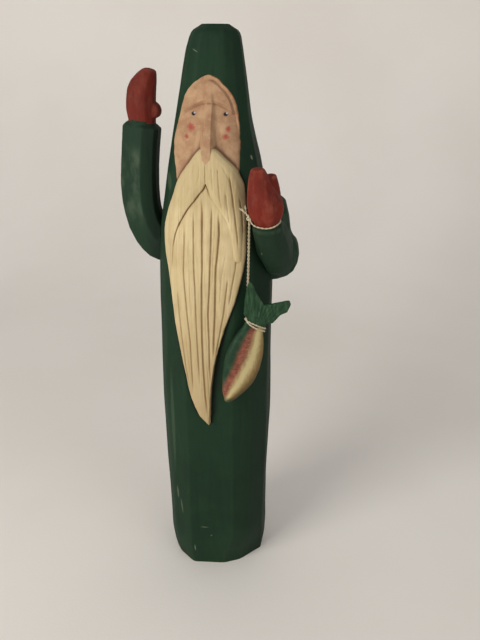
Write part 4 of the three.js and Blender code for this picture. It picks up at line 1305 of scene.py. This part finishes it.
def spot(x, z, across, high, soft, ragged=0.0, turn=0.0):
    """A painted spot on the front, with its middle and half sizes in millimetres."""
    c, n = math.cos(math.radians(turn)), math.sin(math.radians(turn))
    over = r.times(r.calc("SUBTRACT", r.axis("X"), x * MM), 1000)
    up_by = r.times(r.calc("SUBTRACT", r.axis("Z"), z * MM), 1000)
    dx = r.times(r.plus(r.times(over, c), r.times(up_by, n)), 1 / across)
    dz = r.times(r.calc("SUBTRACT", r.times(up_by, c), r.times(over, n)), 1 / high)
    away = r.calc("SQRT", r.plus(r.times(dx, dx), r.times(dz, dz)))
    if ragged:
        away = r.plus(away, r.swing(r.noise(900, 3, 0.7), ragged))
    return r.step(away, 1.0, 1.0 - soft)


print("masks of the beard and the face ready")

# %% [markdown]
# The face is painted as a doll's: warm flesh with rosy dabs, brown wash in the cuts, and small dark eyes with a
# light spot. The eyes are dots of paint, so they are spots in the material and not pieces of their own.

# %% Flesh
small = r.noise(330, 3, 0.6)
flesh = r.mottled(r.noise(85, 4, 0.62), 0.36, 0.66, (182, 147, 112), (160, 121, 90))
flesh = r.coat(flesh, (194, 162, 126), r.step(small, 0.5, 0.8), 0.35)
eyes = face_middle - 11.7, face_middle + 11.5
eye_level, cheek_level = brow_line - 0.155 * face_length, brow_line - 0.34 * face_length
for eye in eyes:
    flesh = r.coat(flesh, (120, 84, 62), spot(eye, eye_level + 0.2, 4.2, 3.0, 0.9, 0.5), 0.35)
# rosy dabs: places from the face's middle and the cheeks' level, then half sizes, in millimetres
dabs = ((-13.0, 1.4, 4.0, 4.2), (-16.2, -5.0, 2.3, 2.5), (13.8, 0.6, 2.8, 2.9), (12.2, -4.6, 3.1, 2.9))
for x, z, across, high in dabs:
    flesh = r.coat(flesh, (158, 66, 58), spot(face_middle + x, cheek_level + z, across, high, 0.8, 1.2), 0.9)
# brown wash in the hollows and the cuts, and a rusty rim inside the hood's edge on the figure's left
flesh = r.coat(flesh, (104, 70, 50), r.step(r.plus(r.field("hollow"), r.swing(small, 0.10)), 0.05, 0.55), 0.75)
flesh = r.coat(flesh, (128, 92, 68), r.step(r.field("hollow_wide"), 0.15, 1.3), 0.45)
flesh = r.coat(flesh, (110, 74, 52), r.step(r.plus(r.field("cuts"), r.swing(small, 0.25)), 0.05, 0.85), 0.62)
flesh = r.coat(flesh, (122, 66, 30), r.step(r.field("hood_opening"), 0.8, 0.2),
               r.step(r.axis("X"), -0.006, 0.004), 0.8)
for eye in eyes:
    flesh = r.coat(flesh, (30, 28, 30), spot(eye, eye_level, 1.9, 1.7, 0.45, 0.4))
    flesh = r.coat(flesh, (178, 182, 190), spot(eye + 0.8, eye_level + 0.6, 0.85, 0.8, 0.6))
print("flesh mixed, eyes at", round(eye_level, 1), "mm")

# %% [markdown]
# The cream coat shows the strokes of its brush. It is browner on the moustache, on the figure's left side and
# towards the tip, and the cuts hold brown wash, which makes them show from afar.

# %% Beard and moustache paint
stripes = r.streaks((320, 60, 22), 3, 0.6)
cream = r.mottled(stripes, 0.35, 0.7, (212, 192, 148), (197, 176, 131))
cream = r.coat(cream, (160, 134, 92), r.step(r.streaks((1100, 200, 45), 4, 0.65), 0.48, 0.72), 0.45)
cream = r.coat(cream, (174, 150, 108), r.step(r.noise(46, 3, 0.55), 0.45, 0.72), 0.4)
# a little browner on the moustache, on the figure's left side and towards the tip
cream = r.coat(cream, (178, 157, 113), r.step(r.axis("Z"), 0.329, 0.340), 0.50)
cream = r.coat(cream, (168, 142, 98), r.step(r.axis("X"), 0.012, 0.030), 0.35)
cream = r.coat(cream, (150, 124, 84), r.step(r.plus(r.axis("Z"), r.times(stripes, 0.03)), 0.345, 0.15), 0.58)
# brown wash in the cuts and the hollows
uneven = r.noise(260, 2, 0.5)
cream = r.coat(cream, (136, 106, 66), r.step(r.plus(r.field("cuts"), r.swing(uneven, 0.3)), 0.05, 0.85), 0.70)
cream = r.coat(cream, (112, 84, 52), r.step(r.plus(r.field("hollow"), r.swing(uneven, 0.12)), 0.10, 0.55), 0.5)
cream = r.coat(cream, (118, 92, 60), r.step(r.field("hollow_wide"), 0.15, 1.4), 0.40)
print("cream mixed")

# %% [markdown]
# The masks join the coats. The green also gets its small scratches, pale marks on its left edge that are rubbed
# paint with a painted highlight, painted shade towards +X and a hair of pale ground at the beard's edge, and the
# underside is bare wood.

# %% Post paint
# painted shade: the robe's green is darker towards +X, the figure's left, away from the window lamp
green = r.coat(green, (10, 28, 15), r.step(r.axis("X"), 0.020, 0.042), 0.40)
# small scratches and rubs in the green, and the last two, broad pale marks on the robe's left edge, are rubbed
# paint with a painted highlight: x, z and half sizes in millimetres, turn in degrees, share
scratches = ((-12.0, 439.8, 3.0, 0.50, -28, 0.42), (-6.2, 46.5, 4.4, 0.40, 2, 0.6), (-0.2, 37.4, 1.3, 0.6, 40, 0.5),
             (-15.8, 20.0, 0.65, 5.0, 2, 0.5), (28.2, 368.0, 0.7, 2.2, 20, 0.7), (-27.6, 63.0, 1.0, 9.0, 8, 0.25),
             (-31.5, 76.0, 1.3, 8.0, 4, 0.25), (-32.6, 350.0, 3.4, 8.0, 10, 0.13), (-33.5, 150.0, 2.2, 60.0, 0, 0.10))
in_front = r.step(r.axis("Y"), 0.004, -0.004)
for x, z, across, high, turn, share in scratches:
    green = r.coat(green, (134, 146, 122), spot(x, z, across, high, 0.6, 0.7, turn), in_front, share)
# a hair of pale ground shows along the beard's edge near its tip
green = r.coat(green, (160, 170, 158), r.step(r.field("beard"), -1.15, -0.80), r.step(r.field("beard"), 0.05, -0.15),
               r.step(r.axis("Z"), 0.200, 0.185), r.step(r.axis("X"), -0.001, -0.003), 0.8)
colour = r.mix(r.calc("MAXIMUM", is_beard, is_face), green, r.mix(is_beard, flesh, cream))
colour = r.mix(r.step(r.axis("Z"), 0.0003, 0.0001), colour, bare_wood(r))
height = r.plus(green_height, r.times(r.noise(700, 3, 0.6), 0.35))
painted(r.finish(colour, green_rough, height, BRUSHED), body)

# %% [markdown]
# ### Arms
# The sleeves wear the robe's green, and the mittens a brick red that is darker in the cuts, with a painted
# highlight that makes its edges lighter. The stored distance past the cuff says where the red begins. Facets that
# face the lamps are painted lighter, as rubbed paint and painted light, and the raised sleeve's inner side is
# painted darker, as painted shade.

# %% Arm paint
r = Recipe("painted_arms", Specular_IOR_Level=0.28)
green, green_rough, green_height = green_coat(r, 0.2)
# rubbed paint and painted light: the facets that face the lamps are lighter
green = r.coat(green, (66, 82, 62), r.field("rub_and_light"), r.step(r.streaks((95, 95, 50), 4, 0.62), 0.36, 0.70), 0.75)
# painted shade: the raised sleeve's inner side, next to the robe, is darker
green = r.coat(green, (7, 20, 11), r.step(r.axis("X"), -0.058, -0.047), r.step(r.axis("X"), -0.030, -0.034), 0.55)
red = r.mottled(r.noise(70, 4, 0.6), 0.35, 0.7, (112, 31, 16), (94, 27, 14))
red = r.coat(red, (142, 64, 44), r.step(r.streaks((260, 260, 50), 3, 0.6), 0.5, 0.8), 0.5)
red = r.coat(red, (134, 66, 50), r.step(r.streaks((120, 120, 80), 4, 0.62), 0.46, 0.70), 0.45)
# painted highlight: the mittens' edges are lighter
red = r.coat(red, (156, 86, 64), r.step(r.field("edge"), 0.12, 0.55), 0.45)
red = r.coat(red, (70, 24, 16), r.step(r.axis("X"), 0.0, -0.02), 0.30)
red = r.coat(red, (46, 20, 16), r.step(r.field("hollow"), 0.04, 0.3), 0.75)
is_mitten = r.step(r.plus(r.field("mitten"), r.swing(r.noise(500, 2, 0.5), 0.5)), 0.25, 0.45)
rough = r.plus(green_rough, r.times(is_mitten, 0.06))
painted(r.finish(r.mix(is_mitten, green, red), rough, green_height, BRUSHED), raised, bent)

# %% [markdown]
# ### Trout
# Three soft bands run from tail to nose: a green back, a red stripe and a cream belly that turns to ochre at its
# edge. They are brushed wet into wet, so their borders are soft and broken, and fine dark ticks and pale flecks
# cross the stripe. The tail is green, with strokes that slant as the fish does.

# %% Trout paint
r = Recipe("painted_trout", Specular_IOR_Level=0.15)
broken = r.swing(r.streaks((420, 420, 160), 4, 0.7), 0.45)
place = r.plus(r.field("band"), broken)
back_green = r.mottled(r.noise(120, 4, 0.65), 0.4, 0.7, (30, 54, 36), (44, 70, 46))
stripe = r.mottled(r.noise(260, 3, 0.6), 0.35, 0.7, (142, 84, 66), (112, 64, 50))
belly = r.mottled(r.noise(70, 3, 0.5), 0.35, 0.7, (178, 160, 112), (166, 146, 98))
# painted highlight: a lighter strip runs along the belly beside the stripe
belly = r.coat(belly, (198, 182, 132), r.step(place, 1.0, 1.25), r.step(place, 1.75, 1.4), 0.8)
colour = r.mix(r.step(place, -0.30, 0.35), back_green, stripe)
colour = r.mix(r.step(place, 0.62, 1.28), colour, belly)
colour = r.coat(colour, (122, 92, 50), r.step(place, 1.40, 2.05), 0.85)
# painted shade: the belly darkens towards its outer edge, where the fish rounds away
colour = r.coat(colour, (66, 60, 38), r.step(place, 1.80, 2.35), 0.70)
FISH_SLANT = (0, 0.5, 0)
ticks = r.streaks((240, 240, 1500), 2, 0.5, turn=FISH_SLANT)
on_stripe = r.step(place, 1.15, 0.9)
colour = r.coat(colour, (58, 34, 28), r.step(ticks, 0.60, 0.68), on_stripe, r.step(place, -0.1, 0.1), 0.7)
colour = r.coat(colour, (190, 150, 128), r.step(ticks, 0.36, 0.28), on_stripe, r.step(place, 0.1, 0.4), 0.6)
tail = r.mottled(r.streaks((520, 520, 120), 3, 0.6, 0.3, FISH_SLANT), 0.4, 0.7, (35, 62, 40), (58, 86, 58))
nose_end = r.step(r.plus(r.field("down"), r.times(broken, 6.0)), 60.5, 65.5)
colour = r.coat(colour, (48, 62, 44), nose_end, 0.8)
colour = r.mix(r.step(r.plus(r.field("down"), r.times(broken, 2.0)), 0.8, -1.4), colour, tail)
colour = r.coat(colour, (24, 26, 18), r.step(r.field("hollow"), 0.04, 0.3), 0.5)
rough = r.plus(r.times(r.noise(120, 2, 0.5), 0.15), 0.46)
height = r.plus(r.times(r.streaks((300, 300, 70), 3, 0.6), 0.5), r.times(r.noise(800, 2, 0.5), 0.3))
painted(r.finish(colour, rough, height, 0.00018), trout)

# %% [markdown]
# ### Cotton
# The twine's fibres lie at a slant on each strand. The pattern reads the two numbers that were stored along and
# round the strand, so it follows every bend. The hanging stretch is greyer than the tied loops.

# %% Twine paint
r = Recipe("cotton_fibre", Sheen_Weight=0.3, Sheen_Roughness=0.6)
angle = r.times(r.field("round"), 2 * math.pi)
strand = r.node("ShaderNodeCombineXYZ", X=r.times(r.calc("SINE", angle), 1.2),
                Y=r.times(r.calc("COSINE", angle), 1.2), Z=r.times(r.field("run"), 0.35)).outputs[0]
fibres = r.noise(4.0, 4, 0.65, 0.6, strand)
colour = r.mottled(fibres, 0.32, 0.7, (222, 210, 176), (174, 158, 120))
colour = r.coat(colour, (150, 132, 96), r.step(r.noise(130, 3, 0.5), 0.45, 0.7), 0.4)
colour = r.coat(colour, (142, 128, 96), r.step(r.axis("Z"), 0.256, 0.264), r.step(r.axis("Z"), 0.329, 0.322), 0.5)
painted(r.finish(colour, 0.95, fibres, 0.00012), twine, knot)

# %% [markdown]
# ## Stage
# A pale sheet of paper runs from under the figure up behind it, so there is no horizon. A grid with many rows is
# bent up at the back for it.

# %% Floor
# in metres: half width, half length and front end of the sheet, then where its bend begins and the bend's radius
SHEET_HALF, SHEET_HALF_LENGTH, SHEET_START, BEND_FROM, BEND = 3.0, 2.2, -2.0, 0.55, 0.5
nothing_selected()
bpy.ops.mesh.primitive_grid_add(x_subdivisions=2, y_subdivisions=60, size=2)
floor = bpy.context.object
floor.name = "paper_sweep"
flat = points_of(floor) * MM
run = (flat[:, 1] + 1) * SHEET_HALF_LENGTH + SHEET_START
turn = np.clip((run - BEND_FROM) / BEND, 0, math.pi / 2)
y = np.where(run < BEND_FROM, run, BEND_FROM + BEND * np.sin(turn))
z = np.where(run < BEND_FROM, 0.0, BEND * (1 - np.cos(turn)))
z = z + np.clip(run - BEND_FROM - BEND * math.pi / 2, 0, None)
floor.data.vertices.foreach_set("co", np.column_stack([flat[:, 0] * SHEET_HALF, y, z]).ravel())
floor.data.update()
bpy.ops.object.shade_smooth()
r = Recipe("pale_paper")
tint = r.mottled(r.noise(3, 3, 0.5), 0.3, 0.7, (244, 238, 229), (239, 232, 222))
painted(r.finish(tint, 0.8, r.noise(420, 3, 0.6), 0.0001), floor)

# %% [markdown]
# Two round soft lamps light the figure, a strong one from the left that stands for a window and a weak one from
# the right. Lamps as large as these give soft shadows. The pale air of the world fills what they leave dark.

# %% Lights


AIM = (0, 0, 0.24)


def soft_light(name, at, size, watts, colour):
    """A round soft light that looks at the middle of the figure; its size is in metres."""
    data = bpy.data.lights.new(name, "AREA")
    data.shape = "DISK"
    data.size = size
    data.energy = watts
    data.color = colour
    lamp = bpy.data.objects.new(name, data)
    bpy.context.scene.collection.objects.link(lamp)
    lamp.location = at
    lamp.rotation_euler = (Vector(AIM) - Vector(at)).to_track_quat("-Z", "Y").to_euler()


soft_light("window", (-0.92, -1.17, 0.75), 0.9, 16, (1.0, 0.985, 0.96))
soft_light("room", (1.0, -1.0, 0.8), 1.2, 4, (1.0, 0.98, 0.96))
world = bpy.data.worlds.new("room_air")
world.use_nodes = True
air = world.node_tree.nodes["Background"]
air.inputs["Color"].default_value = (0.93, 0.95, 1.0, 1)
air.inputs["Strength"].default_value = 0.40
bpy.context.scene.world = world
bpy.context.scene.view_settings.view_transform = "Standard"
print("stage and lights ready")
